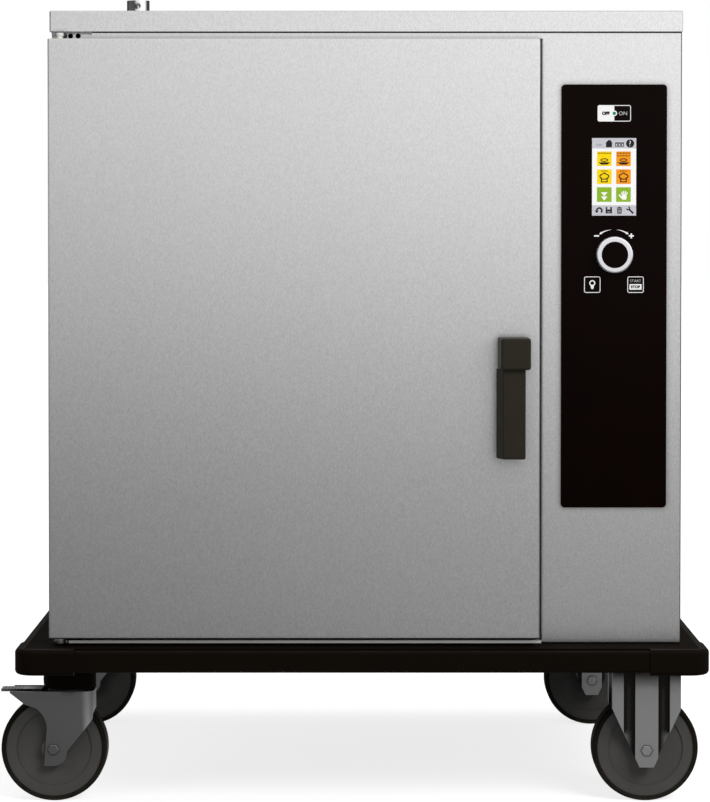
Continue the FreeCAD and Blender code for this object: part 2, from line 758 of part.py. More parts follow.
def fan_impeller():
    """Radial fan wheel with its shaft."""
    centre = V(impeller_left, fan_y, fan_z)
    disc_left = impeller_right - IMPELLER_SHEET
    disc = rod(IMPELLER_RADIUS, V(disc_left, fan_y, fan_z), X_AXIS, IMPELLER_SHEET)
    eye_ring = tube(IMPELLER_RADIUS, IMPELLER_EYE, centre, X_AXIS, IMPELLER_SHEET)
    hub = rod(IMPELLER_HUB_RADIUS, V(impeller_left + IMPELLER_WIDTH / 2, fan_y, fan_z), X_AXIS, IMPELLER_WIDTH / 2)
    shaft_start = impeller_left + IMPELLER_WIDTH / 2
    shaft = rod(SHAFT_RADIUS, V(shaft_start, fan_y, fan_z), X_AXIS, shaft_end - shaft_start)
    pieces = [disc, eye_ring, hub, shaft]
    for index in range(IMPELLER_BLADES):
        blade = box(
            impeller_left, impeller_right, fan_y - IMPELLER_SHEET / 2, fan_y + IMPELLER_SHEET / 2,
            fan_z + IMPELLER_EYE - IMPELLER_SHEET, fan_z + IMPELLER_RADIUS - IMPELLER_SHEET,
        )
        blade.rotate(V(0, fan_y, fan_z), X_AXIS, 360 * index / IMPELLER_BLADES)
        pieces.append(blade)
    return joined(pieces)


def fan_motor():
    """Motor on the service side of the partition, with a bore for the fan's shaft."""
    flange = rod(MOTOR_FLANGE_RADIUS, V(partition_right, fan_y, fan_z), X_AXIS, MOTOR_FLANGE)
    can = rod(MOTOR_RADIUS, V(motor_left, fan_y, fan_z), X_AXIS, MOTOR_LENGTH)
    bore = rod(SHAFT_RADIUS + RUNNING_FIT, V(partition_right, fan_y, fan_z), X_AXIS, MOTOR_BORE_DEPTH)
    return joined([flange, can]).cut(bore)


def runner_rack(wall_x, side):
    """Two posts on pegs from a wall, and flat ledges that the containers slide on."""
    post_face = rack_middle + side * (CONTAINER_WIDTH / 2 + CONTAINER_PLAY)
    post_wall = post_face + side * POST_SIZE
    ledge_tip = post_face - side * LEDGE_WIDTH
    pieces = []
    for y0 in (rack_front + POST_INSET, rack_back - POST_INSET - POST_SIZE):
        x0, x1 = sorted((post_face, post_wall))
        pieces.append(box(x0, x1, y0, y0 + POST_SIZE, rack_first - POST_OVERHANG, rack_last + POST_OVERHANG))
        for z in (rack_first + rack_pitch / 2, rack_last - rack_pitch / 2):
            start = V(min(post_wall, wall_x), y0 + POST_SIZE / 2, z)
            pieces.append(rod(PEG_RADIUS, start, X_AXIS, abs(wall_x - post_wall)))
    for level in range(RACK_LEVELS):
        z0 = rack_first + level * rack_pitch
        x0, x1 = sorted((post_face, ledge_tip))
        pieces.append(box(x0, x1, rack_front, rack_back, z0, z0 + LEDGE_THICKNESS))
    return pieces


def steam_vent():
    """Pipe from the chamber's roof through the lid, with a cross hole near its top."""
    bottom = mouth_top + SHEET
    pipe = tube(VENT_RADIUS, VENT_RADIUS - VENT_WALL, V(vent_x, vent_y, bottom), Z_AXIS, vent_top - bottom)
    start = V(vent_x, vent_y - VENT_RADIUS, vent_top - VENT_PORT_DROP)
    return pipe.cut(rod(VENT_PORT_RADIUS, start, Y_AXIS, VENT_RADIUS))


def cable_gland():
    """Gland in the back panel that the mains lead passes through."""
    nut = hexagon(GLAND_ACROSS, V(gland_x, body_back, gland_z), Y_AXIS, GLAND_NUT)
    cap = rod(GLAND_CAP_RADIUS, V(gland_x, body_back + GLAND_NUT, gland_z), Y_AXIS, GLAND_CAP)
    inner = body_back - SHEET - GLAND_THREAD
    thread = rod(GLAND_THREAD_RADIUS, V(gland_x, inner, gland_z), Y_AXIS, body_back - inner)
    length = body_back + GLAND_NUT + GLAND_CAP - inner
    return joined([nut, cap, thread]).cut(rod(GLAND_BORE, V(gland_x, inner, gland_z), Y_AXIS, length))


def chamber_lamp():
    """Lamp housing in the back wall of the chamber, and its lens."""
    seat = V(rack_middle, chamber_back - LAMP_FLANGE, lamp_z)
    flange = rod(LAMP_RADIUS + LAMP_FLANGE_WIDTH, seat, Y_AXIS, LAMP_FLANGE)
    can = rod(LAMP_RADIUS, V(rack_middle, chamber_back, lamp_z), Y_AXIS, LAMP_DEPTH)
    lens = Part.makeCone(
        LAMP_LENS_RADIUS, LAMP_LENS_RADIUS - LAMP_LENS_HEIGHT / 2, LAMP_LENS_HEIGHT, seat, V(0, -1, 0)
    )
    return [joined([flange, can]), lens]


def power_module():
    """Box of power electronics on the partition, in the service space."""
    y1 = body_back - SHEET - MODULE_BACK_GAP
    z0 = deck_top + MODULE_LIFT
    return box(partition_right, partition_right + MODULE_DEPTH, y1 - MODULE_WIDTH, y1, z0, z0 + MODULE_HEIGHT)


def cabinet():
    """Everything fixed that is not chassis, control or castor."""
    nodes["left_side_panel"] = [side_panel(body_left, 1, frame_front)]
    nodes["right_side_panel"] = [side_panel(body_right, -1, fascia_back)]
    nodes["back_panel"] = [back_panel()]
    nodes["top_lid"] = [top_lid()]
    nodes["front_frame"] = [front_frame()]
    nodes["partition_panel"] = [partition_panel()]
    nodes["chamber_liner"] = [chamber_liner()]
    nodes["insulation"] = [insulation()]
    nodes["fan_baffle"] = [fan_baffle()]
    nodes["fan_impeller"] = [fan_impeller()]
    nodes["fan_motor"] = [fan_motor()]
    nodes["heating_element"] = [heating_element()]
    nodes["left_runner_rack"] = runner_rack(mouth_left, -1)
    nodes["right_runner_rack"] = runner_rack(baffle_left, 1)
    nodes["steam_vent"] = [steam_vent()]
    nodes["cable_gland"] = [cable_gland()]
    nodes["latch_keeper"] = [latch_keeper()]
    nodes["chamber_lamp"] = chamber_lamp()
    nodes["power_module"] = [power_module()]


def keys():
    """Each key's name, middle X, middle Z, width and height."""
    small_z = panel_top - SMALL_KEY_DROP
    return [
        ("power_key", panel_middle, panel_top - POWER_KEY_DROP, POWER_KEY_WIDTH, POWER_KEY_HEIGHT),
        ("light_key", panel_middle - SMALL_KEY_SPREAD, small_z, SMALL_KEY_SIZE, SMALL_KEY_SIZE),
        ("start_stop_key", panel_middle + SMALL_KEY_SPREAD, small_z, SMALL_KEY_SIZE, SMALL_KEY_SIZE),
    ]


def rounded_slab(x, z, width, height, corner, y0, y1):
    """Upright slab with rounded corners, about a middle point."""
    slab = box(x - width / 2, x + width / 2, y0, y1, z - height / 2, z + height / 2)
    return slab.makeFillet(corner, edges_along(slab, Y_AXIS))


def with_control_holes(shape, y0, y1):
    """A sheet with the holes for the keys and the knob's stem."""
    for _, x, z, width, height in keys():
        shape = shape.cut(rounded_slab(x, z, width + 2 * PLAY, height + 2 * PLAY, KEY_CORNER + PLAY, y0, y1))
    return shape.cut(rod(KNOB_STEM_HOLE, V(panel_middle, y0, knob_z), Y_AXIS, y1 - y0))


def front_edges(shape, side, level):
    """Edges of a shape where its front meets the plane side = level."""
    chosen = []
    for edge in shape.Edges:
        bounds = edge.BoundBox
        in_front = bounds.YMax < shape.BoundBox.YMin + 1e-6
        spread = (getattr(bounds, side + "Min"), getattr(bounds, side + "Max"))
        if in_front and all(abs(end - level) < 1e-6 for end in spread):
            chosen.append(edge)
    return chosen


def folded_front(x0, x1, z0, z1):
    """Steel front whose left and lower edges are turned back to the frame in soft bends."""
    outer = box(x0, x1, body_front, frame_front, z0, z1)
    outer = outer.makeFillet(FASCIA_BEND, front_edges(outer, "X", x0) + front_edges(outer, "Z", z0))
    inner = box(x0 + SHEET, x1, fascia_back, frame_front, z0 + SHEET, z1)
    corner = front_edges(inner, "X", x0 + SHEET) + front_edges(inner, "Z", z0 + SHEET)
    return outer.cut(inner.makeFillet(FASCIA_BEND - SHEET, corner))


def control_fascia():
    """Steel front in three strips that meet flush: control column, sill below the door and band above it."""
    top = lip_bottom - LID_GAP
    sill_top = door_bottom - SILL_GAP
    band_bottom = door_top + BAND_GAP
    start = hinge_x - HINGE_TAB_WIDTH / 2 + HINGE_PLATE_WIDTH + PLAY
    join = fascia_left + 2 * FASCIA_BEND
    sill = box(start, join, body_front, frame_front, deck_top, sill_top)
    sill = sill.makeFillet(FASCIA_BEND, front_edges(sill, "Z", deck_top))
    band = box(start, join, body_front, frame_front, band_bottom, top)
    band = band.cut(box(start, join, fascia_back, frame_front, band_bottom + SHEET, top))
    column = folded_front(fascia_left, body_right, deck_top, top)
    column = column.cut(box(body_right - SHEET, body_right, fascia_back, frame_front, deck_top, top))
    for low, high in ((deck_top, sill_top), (band_bottom, top)):
        column = column.cut(box(fascia_left, join, body_front, frame_front, low, high))
    return [with_control_holes(column, body_front, fascia_back), sill, band]


def control_panel():
    """Black panel with holes for the display, the keys and the knob."""
    middle_z = panel_top - PANEL_HEIGHT / 2
    panel = rounded_slab(panel_middle, middle_z, PANEL_WIDTH, PANEL_HEIGHT, PANEL_CORNER, panel_front, body_front)
    display_z = panel_top - DISPLAY_DROP
    half_width = DISPLAY_WIDTH / 2
    half_height = DISPLAY_HEIGHT / 2
    window = box(
        panel_middle - half_width, panel_middle + half_width, panel_front, body_front,
        display_z - half_height, display_z + half_height,
    )
    front = panel_front - DISPLAY_PROUD
    screen = box(
        panel_middle - half_width, panel_middle + half_width, front, body_front,
        display_z - half_height, display_z + half_height,
    )
    nodes["control_panel"] = [with_control_holes(panel.cut(window), panel_front, body_front)]
    nodes["display_screen"] = [screen]


def key(x, z, width, height):
    """Key cap with a flange that keeps it behind the fascia."""
    flange_front = fascia_back + PLAY
    cap = rounded_slab(x, z, width, height, KEY_CORNER, panel_front - KEY_TRAVEL, flange_front)
    wide = width + 2 * (PLAY + KEY_FLANGE_WIDTH)
    high = height + 2 * (PLAY + KEY_FLANGE_WIDTH)
    flange = rounded_slab(x, z, wide, high, KEY_CORNER, flange_front, flange_front + KEY_FLANGE)
    return joined([cap, flange])


def control_board():
    """Circuit board on posts behind the fascia, with a switch for each key and the knob's encoder."""
    back = board_front + BOARD_THICKNESS
    z1 = panel_top - BOARD_MARGIN
    z0 = panel_top - SMALL_KEY_DROP - SMALL_KEY_SIZE / 2 - BOARD_MARGIN
    x0 = panel_middle - BOARD_WIDTH / 2
    x1 = panel_middle + BOARD_WIDTH / 2
    pieces = [box(x0, x1, board_front, back, z0, z1)]
    for x in (x0 + BOARD_POST_INSET, x1 - BOARD_POST_INSET):
        for z in (z0 + BOARD_POST_INSET, z1 - BOARD_POST_INSET):
            pieces.append(rod(BOARD_POST_RADIUS, V(x, fascia_back, z), Y_AXIS, BOARD_STANDOFF))
    switch_front = fascia_back + PLAY + KEY_FLANGE + KEY_TRAVEL + SWITCH_CLEAR
    half = SWITCH_SIZE / 2
    for _, x, z, _, _ in keys():
        pieces.append(box(x - half, x + half, switch_front, board_front, z - half, z + half))
    half = ENCODER_SIZE / 2
    encoder_front = board_front - ENCODER_HEIGHT
    pieces.append(
        box(panel_middle - half, panel_middle + half, encoder_front, board_front, knob_z - half, knob_z + half)
    )
    bore = rod(KNOB_STEM_RADIUS + RUNNING_FIT, V(panel_middle, encoder_front, knob_z), Y_AXIS, ENCODER_HEIGHT)
    return joined(pieces).cut(bore)


def knob():
    """Bright ring and black cap of the control knob; the cap carries the stem."""
    back = panel_front - PLAY
    front = panel_front - KNOB_HEIGHT
    ring = rod(KNOB_RADIUS, V(panel_middle, front, knob_z), Y_AXIS, back - front)
    rim = [e for e in ring.Edges if abs(e.BoundBox.YMax - front) < 1e-6]
    ring = ring.makeFillet(KNOB_ROUND, rim)
    ring = ring.cut(rod(KNOB_CAP_RADIUS, V(panel_middle, front, knob_z), Y_AXIS, back - front))
    cap_front = front + KNOB_CAP_RECESS
    cap = rod(KNOB_CAP_RADIUS, V(panel_middle, cap_front, knob_z), Y_AXIS, back - cap_front)
    stem = rod(KNOB_STEM_RADIUS, V(panel_middle, cap_front, knob_z), Y_AXIS, board_front - PLAY - cap_front)
    nodes["knob_ring"] = [ring]
    nodes["knob_cap"] = [joined([cap, stem])]


def controls():
    """The control column."""
    nodes["control_fascia"] = control_fascia()
    control_panel()
    nodes["control_board"] = [control_board()]
    for name, x, z, width, height in keys():
        nodes[name] = [key(x, z, width, height)]
    knob()


def door():
    """Door shell, inner sheet, wool and gasket."""
    inner_front = door_back - SHEET
    outer = box(door_left, door_right, door_front, inner_front, door_bottom, door_top)
    outer = outer.makeFillet(BEND, edges_off(outer, "y", inner_front))
    hollow = box(
        door_left + SHEET, door_right - SHEET, door_front + SHEET, inner_front, door_bottom + SHEET, door_top - SHEET
    )
    hollow = hollow.makeFillet(BEND - SHEET, edges_off(hollow, "y", inner_front))
    bush_holes = [
        rod(hinge_bush_radius, V(hinge_x, hinge_y, door_top - HINGE_BUSH_LENGTH), Z_AXIS, HINGE_BUSH_LENGTH),
        rod(hinge_bush_radius, V(hinge_x, hinge_y, door_bottom), Z_AXIS, HINGE_BUSH_LENGTH),
        rod(handle_bush_radius, V(spindle_x, door_front, spindle_z), Y_AXIS, DOOR_THICKNESS),
    ]
    holes = Part.makeCompound(bush_holes)
    nodes["door_outer_skin"] = [outer.cut(hollow).cut(holes)]
    nodes["door_insulation"] = [hollow.cut(holes)]
    inner_skin = box(door_left, door_right, inner_front, door_back, door_bottom, door_top)
    nodes["door_inner_skin"] = [inner_skin.cut(holes)]
    near = GASKET_CLEAR
    far = GASKET_CLEAR + GASKET_WIDTH
    seal = box(
        mouth_left - far, mouth_right + far, door_back, frame_front, mouth_bottom - far, mouth_top + far
    )
    window = box(
        mouth_left - near, mouth_right + near, door_back, frame_front, mouth_bottom - near, mouth_top + near
    )
    nodes["door_gasket"] = [seal.cut(window)]


def hinges():
    """Hinge brackets with their pins on the frame, and the bushes in the door."""
    bore = HINGE_PIN_RADIUS + RUNNING_FIT
    half = HINGE_TAB_WIDTH / 2
    brackets = []
    bushes = []
    for upper in (True, False):
        tab_bottom = upper_tab_bottom if upper else lower_tab_top - HINGE_TAB
        tab_top = tab_bottom + HINGE_TAB
        plate_low = tab_top - HINGE_PLATE_HEIGHT if upper else tab_bottom
        plate = box(
            hinge_x - half, hinge_x - half + HINGE_PLATE_WIDTH, frame_front - HINGE_PLATE, frame_front,
            plate_low, plate_low + HINGE_PLATE_HEIGHT,
        )
        tab = box(hinge_x - half, hinge_x + half, hinge_y, frame_front, tab_bottom, tab_top)
        nose = rod(half, V(hinge_x, hinge_y, tab_bottom), Z_AXIS, HINGE_TAB)
        pin_end = door_top - HINGE_BUSH_LENGTH + PLAY if upper else tab_top
        pin_top = tab_bottom if upper else door_bottom + HINGE_BUSH_LENGTH - PLAY
        pin = rod(HINGE_PIN_RADIUS, V(hinge_x, hinge_y, pin_end), Z_AXIS, pin_top - pin_end)
        brackets.append(joined([plate, tab, nose, pin]))
        bush_bottom = door_top - HINGE_BUSH_LENGTH if upper else door_bottom
        bush = rod(hinge_bush_radius, V(hinge_x, hinge_y, bush_bottom), Z_AXIS, HINGE_BUSH_LENGTH)
        collar_bottom = door_top if upper else tab_top + PLAY
        collar_top_z = tab_bottom - PLAY if upper else door_bottom
        collar = rod(hinge_collar_radius, V(hinge_x, hinge_y, collar_bottom), Z_AXIS, collar_top_z - collar_bottom)
        way = rod(bore, V(hinge_x, hinge_y, deck_top), Z_AXIS, lid_top - deck_top)
        bushes.append(joined([bush, collar]).cut(way))
    nodes["hinge_brackets"] = brackets
    nodes["hinge_bushes"] = bushes


def flared_bar(x0, x1, y0, y1, flare, z0, z1):
    """Upright bar whose left side leans out towards its back."""
    corners = [V(x0, y0, z0), V(x1, y0, z0), V(x1, y1, z0), V(x0 - flare, y1, z0), V(x0, y0, z0)]
    return Part.Face(Part.makePolygon(corners)).extrude(V(0, 0, z1 - z0))


def handle():
    """Lever, spindle, bush and latch cam."""
    hub_bottom = spindle_z - HUB_HEIGHT / 2
    hub = flared_bar(
        spindle_x - HUB_WIDTH / 2, spindle_x + HUB_WIDTH / 2, hub_front, hub_back, HUB_FLARE,
        hub_bottom, hub_bottom + HUB_HEIGHT,
    )
    hub = hub.makeFillet(HUB_ROUND, edges_off(hub, "y", hub_back))
    grip_front = hub_front + GRIP_SETBACK
    grip_top = hub_bottom + GRIP_ROOT
    grip = flared_bar(
        spindle_x - GRIP_REACH_LEFT, spindle_x + GRIP_REACH_RIGHT, grip_front, grip_front + GRIP_DEPTH, GRIP_FLARE,
        hub_bottom - GRIP_LENGTH, grip_top,
    )
    grip = grip.makeFillet(GRIP_ROUND, edges_off(grip, "z", grip_top))
    spindle_front = hub_back - SPINDLE_GRIP
    socket = rod(SPINDLE_RADIUS, V(spindle_x, spindle_front, spindle_z), Y_AXIS, SPINDLE_GRIP)
    nodes["handle_lever"] = [joined([hub, grip]).cut(socket)]
    nodes["handle_spindle"] = [
        rod(SPINDLE_RADIUS, V(spindle_x, spindle_front, spindle_z), Y_AXIS, cam_back - spindle_front)
    ]
    bush_start = V(spindle_x, door_front, spindle_z)
    flange_start = V(spindle_x, door_front - HANDLE_BUSH_FLANGE, spindle_z)
    barrel = rod(handle_bush_radius, bush_start, Y_AXIS, DOOR_THICKNESS)
    flange = rod(SPINDLE_RADIUS + HANDLE_BUSH_FLANGE_WIDTH, flange_start, Y_AXIS, HANDLE_BUSH_FLANGE)
    way = rod(SPINDLE_RADIUS + RUNNING_FIT, flange_start, Y_AXIS, DOOR_THICKNESS + HANDLE_BUSH_FLANGE)
    nodes["handle_bush"] = [joined([barrel, flange]).cut(way)]
    tongue = box(
        spindle_x - CAM_HALF_WIDTH, spindle_x + CAM_HALF_WIDTH, cam_front, cam_back, spindle_z, spindle_z + CAM_REACH
    )
    eye = rod(CAM_HALF_WIDTH + PLAY, V(spindle_x, cam_front, spindle_z), Y_AXIS, CAM_THICKNESS)
    shaft_way = rod(SPINDLE_RADIUS, V(spindle_x, cam_front, spindle_z), Y_AXIS, CAM_THICKNESS)
    nodes["latch_cam"] = [joined([tongue, eye]).cut(shaft_way)]


def wheel(x, y):
    """Tyre and hub of one castor wheel."""
    half = WHEEL_WIDTH / 2
    rim_radius = axle_z - TYRE_THICKNESS
    tyre = rod(axle_z, V(x, y - half, axle_z), Y_AXIS, WHEEL_WIDTH)
    rims = [e for e in tyre.Edges if abs(e.BoundBox.YMax - e.BoundBox.YMin) < 1e-6]
    tyre = tyre.makeFillet(TYRE_ROUND, rims)
    tyre = tyre.cut(rod(rim_radius, V(x, y - half, axle_z), Y_AXIS, WHEEL_WIDTH))
    rim_half = half - RIM_STEP
    web_half = half - WEB_STEP
    boss_half = leg_inner - PLAY
    rim = rod(rim_radius, V(x, y - rim_half, axle_z), Y_AXIS, 2 * rim_half)
    for start in (y - rim_half, y + web_half):
        rim = rim.cut(rod(rim_radius - RIM_BAND, V(x, start, axle_z), Y_AXIS, rim_half - web_half))
    boss = rod(BOSS_RADIUS, V(x, y - boss_half, axle_z), Y_AXIS, 2 * boss_half)
    bore = rod(AXLE_RADIUS + RUNNING_FIT, V(x, y - boss_half, axle_z), Y_AXIS, 2 * boss_half)
    return tyre, joined([rim, boss]).cut(bore)


def wheel_room(x, y):
    """The space that a tyre keeps clear as it turns, rounded as the tyre is."""
    half = WHEEL_WIDTH / 2 + TYRE_CLEARANCE
    room = rod(axle_z + TYRE_CLEARANCE, V(x, y - half, axle_z), Y_AXIS, 2 * half)
    rims = [e for e in room.Edges if abs(e.BoundBox.YMax - e.BoundBox.YMin) < 1e-6]
    return room.makeFillet(TYRE_ROUND + TYRE_CLEARANCE, rims)


def axle(x, y, outer):
    """Axle across the legs of a castor."""
    return rod(AXLE_RADIUS, V(x, y - outer, axle_z), Y_AXIS, 2 * outer)


def castor_plate(x, y):
    """Mounting plate of one castor with its four bolt holes."""
    half_x = CASTOR_PLATE_X / 2
    half_y = CASTOR_PLATE_Y / 2
    return box(x - half_x, x + half_x, y - half_y, y + half_y, plate_bottom, chassis_bottom)


def fork_outline(x):
    """Side view of a swivel fork: nose skirt, leg and the horned ears that hold the brake pedal."""
    nose = x + FORK_NOSE
    horn = x - horn_lead
    axle_x = x - CASTOR_TRAIL
    leg_right = axle_x + LEG_NOSE
    leg_left = axle_x - LEG_TAIL
    heel = (leg_right, axle_z - LEG_HEEL)
    toe_bow = (leg_right - LEG_TOE_BOW, axle_z - LEG_HEEL - LEG_TOE_BOW_DROP)
    toe = (axle_x, axle_z - LEG_TOE)
    throat = (axle_x - THROAT_LEAD, axle_z + THROAT_RISE)
    ear_root = (axle_x - EAR_ROOT_LEAD, crown_top - EAR_ROOT_HEIGHT)
    throat_bow = (leg_left - THROAT_BOW, (throat[1] + 2 * ear_root[1]) / 3)
    edges = lines([(horn, crown_top), (nose, crown_top), (nose, crown_top - FORK_SKIRT), heel])
    edges.append(bow(heel, toe_bow, toe))
    edges += lines([toe, (leg_left, axle_z - LEG_TOE), throat])
    edges.append(bow(throat, throat_bow, ear_root))
    ear_end = (x - FORK_TAIL, crown_top - EAR_HEIGHT)
    edges += lines([ear_root, ear_end, (horn, crown_top - FORK_HORN_END), (horn, crown_top)])
    return edges


def fork_shell(half_width, z0, z1, x, y):
    """Upright block with two round corners at its nose, as wide as the fork."""
    inset = leg_outer - half_width
    nose = x + FORK_NOSE - inset
    block = box(x - horn_lead, nose, y - half_width, y + half_width, z0, z1)
    corners = [edge for edge in edges_along(block, Z_AXIS) if edge.BoundBox.XMin > nose - 1e-6]
    return block.makeFillet(FORK_CORNER - inset, corners)


def swivel_fork(x, y):
    """Folded sheet fork with a round nose, a crown under the collar and holes for axle and pedal."""
    low = axle_z - LEG_TOE
    axle_x = x - CASTOR_TRAIL
    shell = fork_shell(leg_outer, low, crown_top, x, y).cut(fork_shell(leg_inner, low, crown_top, x, y))
    sides = shell.common(side_plate(fork_outline(x), y - leg_outer, y + leg_outer))
    crown = fork_shell(leg_inner, crown_bottom, crown_top, x, y)
    tail_room = box(x - horn_lead, x - CROWN_TAIL, y - leg_inner, y + leg_inner, crown_bottom, crown_top)
    collar = rod(COLLAR_RADIUS, V(x, y, crown_top), Z_AXIS, COLLAR_HEIGHT)
    fork = joined([sides, crown.cut(tail_room), collar]).cut(wheel_room(axle_x, y))
    bore = rod(KINGPIN_RADIUS + RUNNING_FIT, V(x, y, crown_bottom), Z_AXIS, collar_top - crown_bottom)
    axle_hole = rod(AXLE_RADIUS, V(axle_x, y - leg_outer, axle_z), Y_AXIS, 2 * leg_outer)
    stub_start = V(x - pedal_pivot_lead, y - leg_outer, pedal_pivot_z)
    stub_hole = rod(PEDAL_STUB_RADIUS + RUNNING_FIT, stub_start, Y_AXIS, 2 * leg_outer)
    return fork.cut(bore).cut(axle_hole).cut(stub_hole)


def brake_pedal(x, y):
    """Pedal with a tread, a shoe over the tyre, and stubs that turn in the fork's ears."""
    half = PEDAL_HALF
    pivot_x = x - pedal_pivot_lead
    tip_x = x - pedal_tip_lead
    plate_z0 = crown_top - PEDAL_DROP
    lug_left = pivot_x - PEDAL_LUG_TRAIL
    lug_right = pivot_x + PEDAL_LUG_LEAD
    plate = box(tip_x, lug_right, y - half, y + half, plate_z0, plate_z0 + PEDAL_PLATE)
    lug = box(lug_left, lug_right, y - half, y + half, pedal_pivot_z - PEDAL_STUB_RADIUS / 2, plate_z0)
    stub = rod(PEDAL_STUB_RADIUS, V(pivot_x, y - leg_outer, pedal_pivot_z), Y_AXIS, 2 * leg_outer)
    shoe_right = pivot_x - PEDAL_SHOE_LEAD
    shoe = box(
        shoe_right - PEDAL_SHOE, shoe_right, y - half, y + half, pedal_pivot_z - PEDAL_SHOE_DROP, plate_z0
    )
    return joined([plate, lug, stub, shoe])


def swivel_plate(x, y):
    """Mounting plate, upper race and kingpin of a swivel castor."""
    race = rod(RACE_RADIUS, V(x, y, race_bottom), Z_AXIS, RACE_HEIGHT)
    kingpin = rod(KINGPIN_RADIUS, V(x, y, crown_bottom), Z_AXIS, plate_bottom - crown_bottom)
    return bolted(joined([castor_plate(x, y), race, kingpin]))


def bracket_outline(x):
    """Front view of a fixed castor's leg: straight shoulders, then a V down to a narrow toe."""
    shoulder = axle_z + BRACKET_SHOULDER
    point = axle_z - BRACKET_POINT
    toe = axle_z - BRACKET_TOE
    return [
        (x - BRACKET_HALF_WIDTH, plate_bottom), (x + BRACKET_HALF_WIDTH, plate_bottom),
        (x + BRACKET_HALF_WIDTH, shoulder), (x + BRACKET_RIB_HALF, point), (x + BRACKET_TOE_HALF, toe),
        (x - BRACKET_TOE_HALF, toe), (x - BRACKET_RIB_HALF, point), (x - BRACKET_HALF_WIDTH, shoulder),
        (x - BRACKET_HALF_WIDTH, plate_bottom),
    ]


def fixed_bracket(x, y):
    """Bracket of a fixed castor: plate and two ribbed legs."""
    pieces = [castor_plate(x, y)]
    outer = leg_outer + BRACKET_RELIEF
    for side in (-1, 1):
        inner_y, outer_y, rib_y = y + side * leg_inner, y + side * leg_outer, y + side * outer
        sheet = side_plate(lines(bracket_outline(x)), min(inner_y, outer_y), max(inner_y, outer_y))
        relief = side_plate(lines(bracket_outline(x)), min(outer_y, rib_y), max(outer_y, rib_y))
        low = axle_z - BRACKET_TOE
        for x0, x1 in ((-BRACKET_FLANGE_INNER, -BRACKET_RIB_HALF), (BRACKET_RIB_HALF, BRACKET_FLANGE_INNER)):
            relief = relief.cut(box(x + x0, x + x1, min(outer_y, rib_y), max(outer_y, rib_y), low, plate_bottom))
        pieces += [sheet, relief]
    bracket = bolted(joined(pieces))
    return bracket.cut(rod(AXLE_RADIUS, V(x, y - outer, axle_z), Y_AXIS, 2 * outer))


def castors():
    """Two braked swivel castors on the left and two fixed castors on the right."""
    plates = []
    brackets = []
    axles = []
    for end, y in castor_y.items():
        pin_x = kingpin_x[end]
        axle_x = {"swivel": pin_x - CASTOR_TRAIL, "fixed": fixed_axle_x[end]}
        plates.append(swivel_plate(pin_x, y))
        brackets.append(fixed_bracket(axle_x["fixed"], y))
        axles.append(axle(axle_x["fixed"], y, leg_outer + BRACKET_RELIEF))
        nodes[end + "_castor_fork"] = [swivel_fork(pin_x, y)]
        nodes[end + "_castor_axle"] = [axle(axle_x["swivel"], y, leg_outer)]
        nodes[end + "_brake_pedal"] = [brake_pedal(pin_x, y)]
        for kind, x in axle_x.items():
            tyre, hub = wheel(x, y)
            nodes[end + "_" + kind + "_tyre"] = [tyre]
            nodes[end + "_" + kind + "_hub"] = [hub]
    nodes["swivel_castor_plates"] = plates
    nodes["fixed_castor_brackets"] = brackets
    nodes["fixed_castor_axles"] = axles


def fasteners():
    """Castor bolts and back panel screws."""
    pieces = []
    for x, y in castor_places():
        for bolt_x, bolt_y in castor_bolt_places(x, y):
            head = hexagon(BOLT_ACROSS, V(bolt_x, bolt_y, plate_bottom - BOLT_HEAD), Z_AXIS, BOLT_HEAD)
            shank = rod(BOLT_RADIUS, V(bolt_x, bolt_y, plate_bottom), Z_AXIS, BOLT_LENGTH)
            pieces.append(joined([head, shank]))
    for x, z in panel_screw_places():
        head = rod(SCREW_HEAD_RADIUS, V(x, body_back, z), Y_AXIS, SCREW_HEAD)
        rim = [e for e in head.Edges if abs(e.BoundBox.YMin - body_back - SCREW_HEAD) < 1e-6]
        head = head.makeFillet(SCREW_HEAD / 2, rim)
        shank = rod(SCREW_RADIUS, V(x, body_back - SCREW_LENGTH, z), Y_AXIS, SCREW_LENGTH)
        pieces.append(joined([head, shank]))
    nodes["fasteners"] = pieces


def export():
    """Moves the origin to the floor below the middle of the whole trolley and writes each node."""
    reach_left = min(kingpin_x.values()) - max(pedal_tip_lead, CASTOR_TRAIL + axle_z)
    origin = V((reach_left + base_right) / 2, (hub_front + base_back) / 2, 0)
    print("origin at", origin)
    os.makedirs("parts", exist_ok=True)
    for name, solids in sorted(nodes.items()):
        shape = solids[0] if len(solids) == 1 else Part.makeCompound(solids)
        shape = shape.copy()
        shape.translate(origin * -1)
        for solid in shape.Solids:
            assert solid.isValid(), name
        print(name, len(shape.Solids), round(shape.Volume / 1000, 1))
        shape.exportStep("parts/" + name + ".step")


chassis()
cabinet()
controls()
door()
hinges()
handle()
castors()
fasteners()
export()
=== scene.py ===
"""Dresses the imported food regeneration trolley: finishes, printed controls, seals, fixings, studio."""

import json
import logging
import math
from dataclasses import dataclass
from enum import Enum
from typing import Dict, List, Optional, Sequence, Tuple

import bmesh
import bpy
from bmesh.types import BMVert, BMesh
from bpy.types import Curve, Material, Mesh, Node, NodeSocket, NodeTree, Object
from mathutils import Matrix, Vector


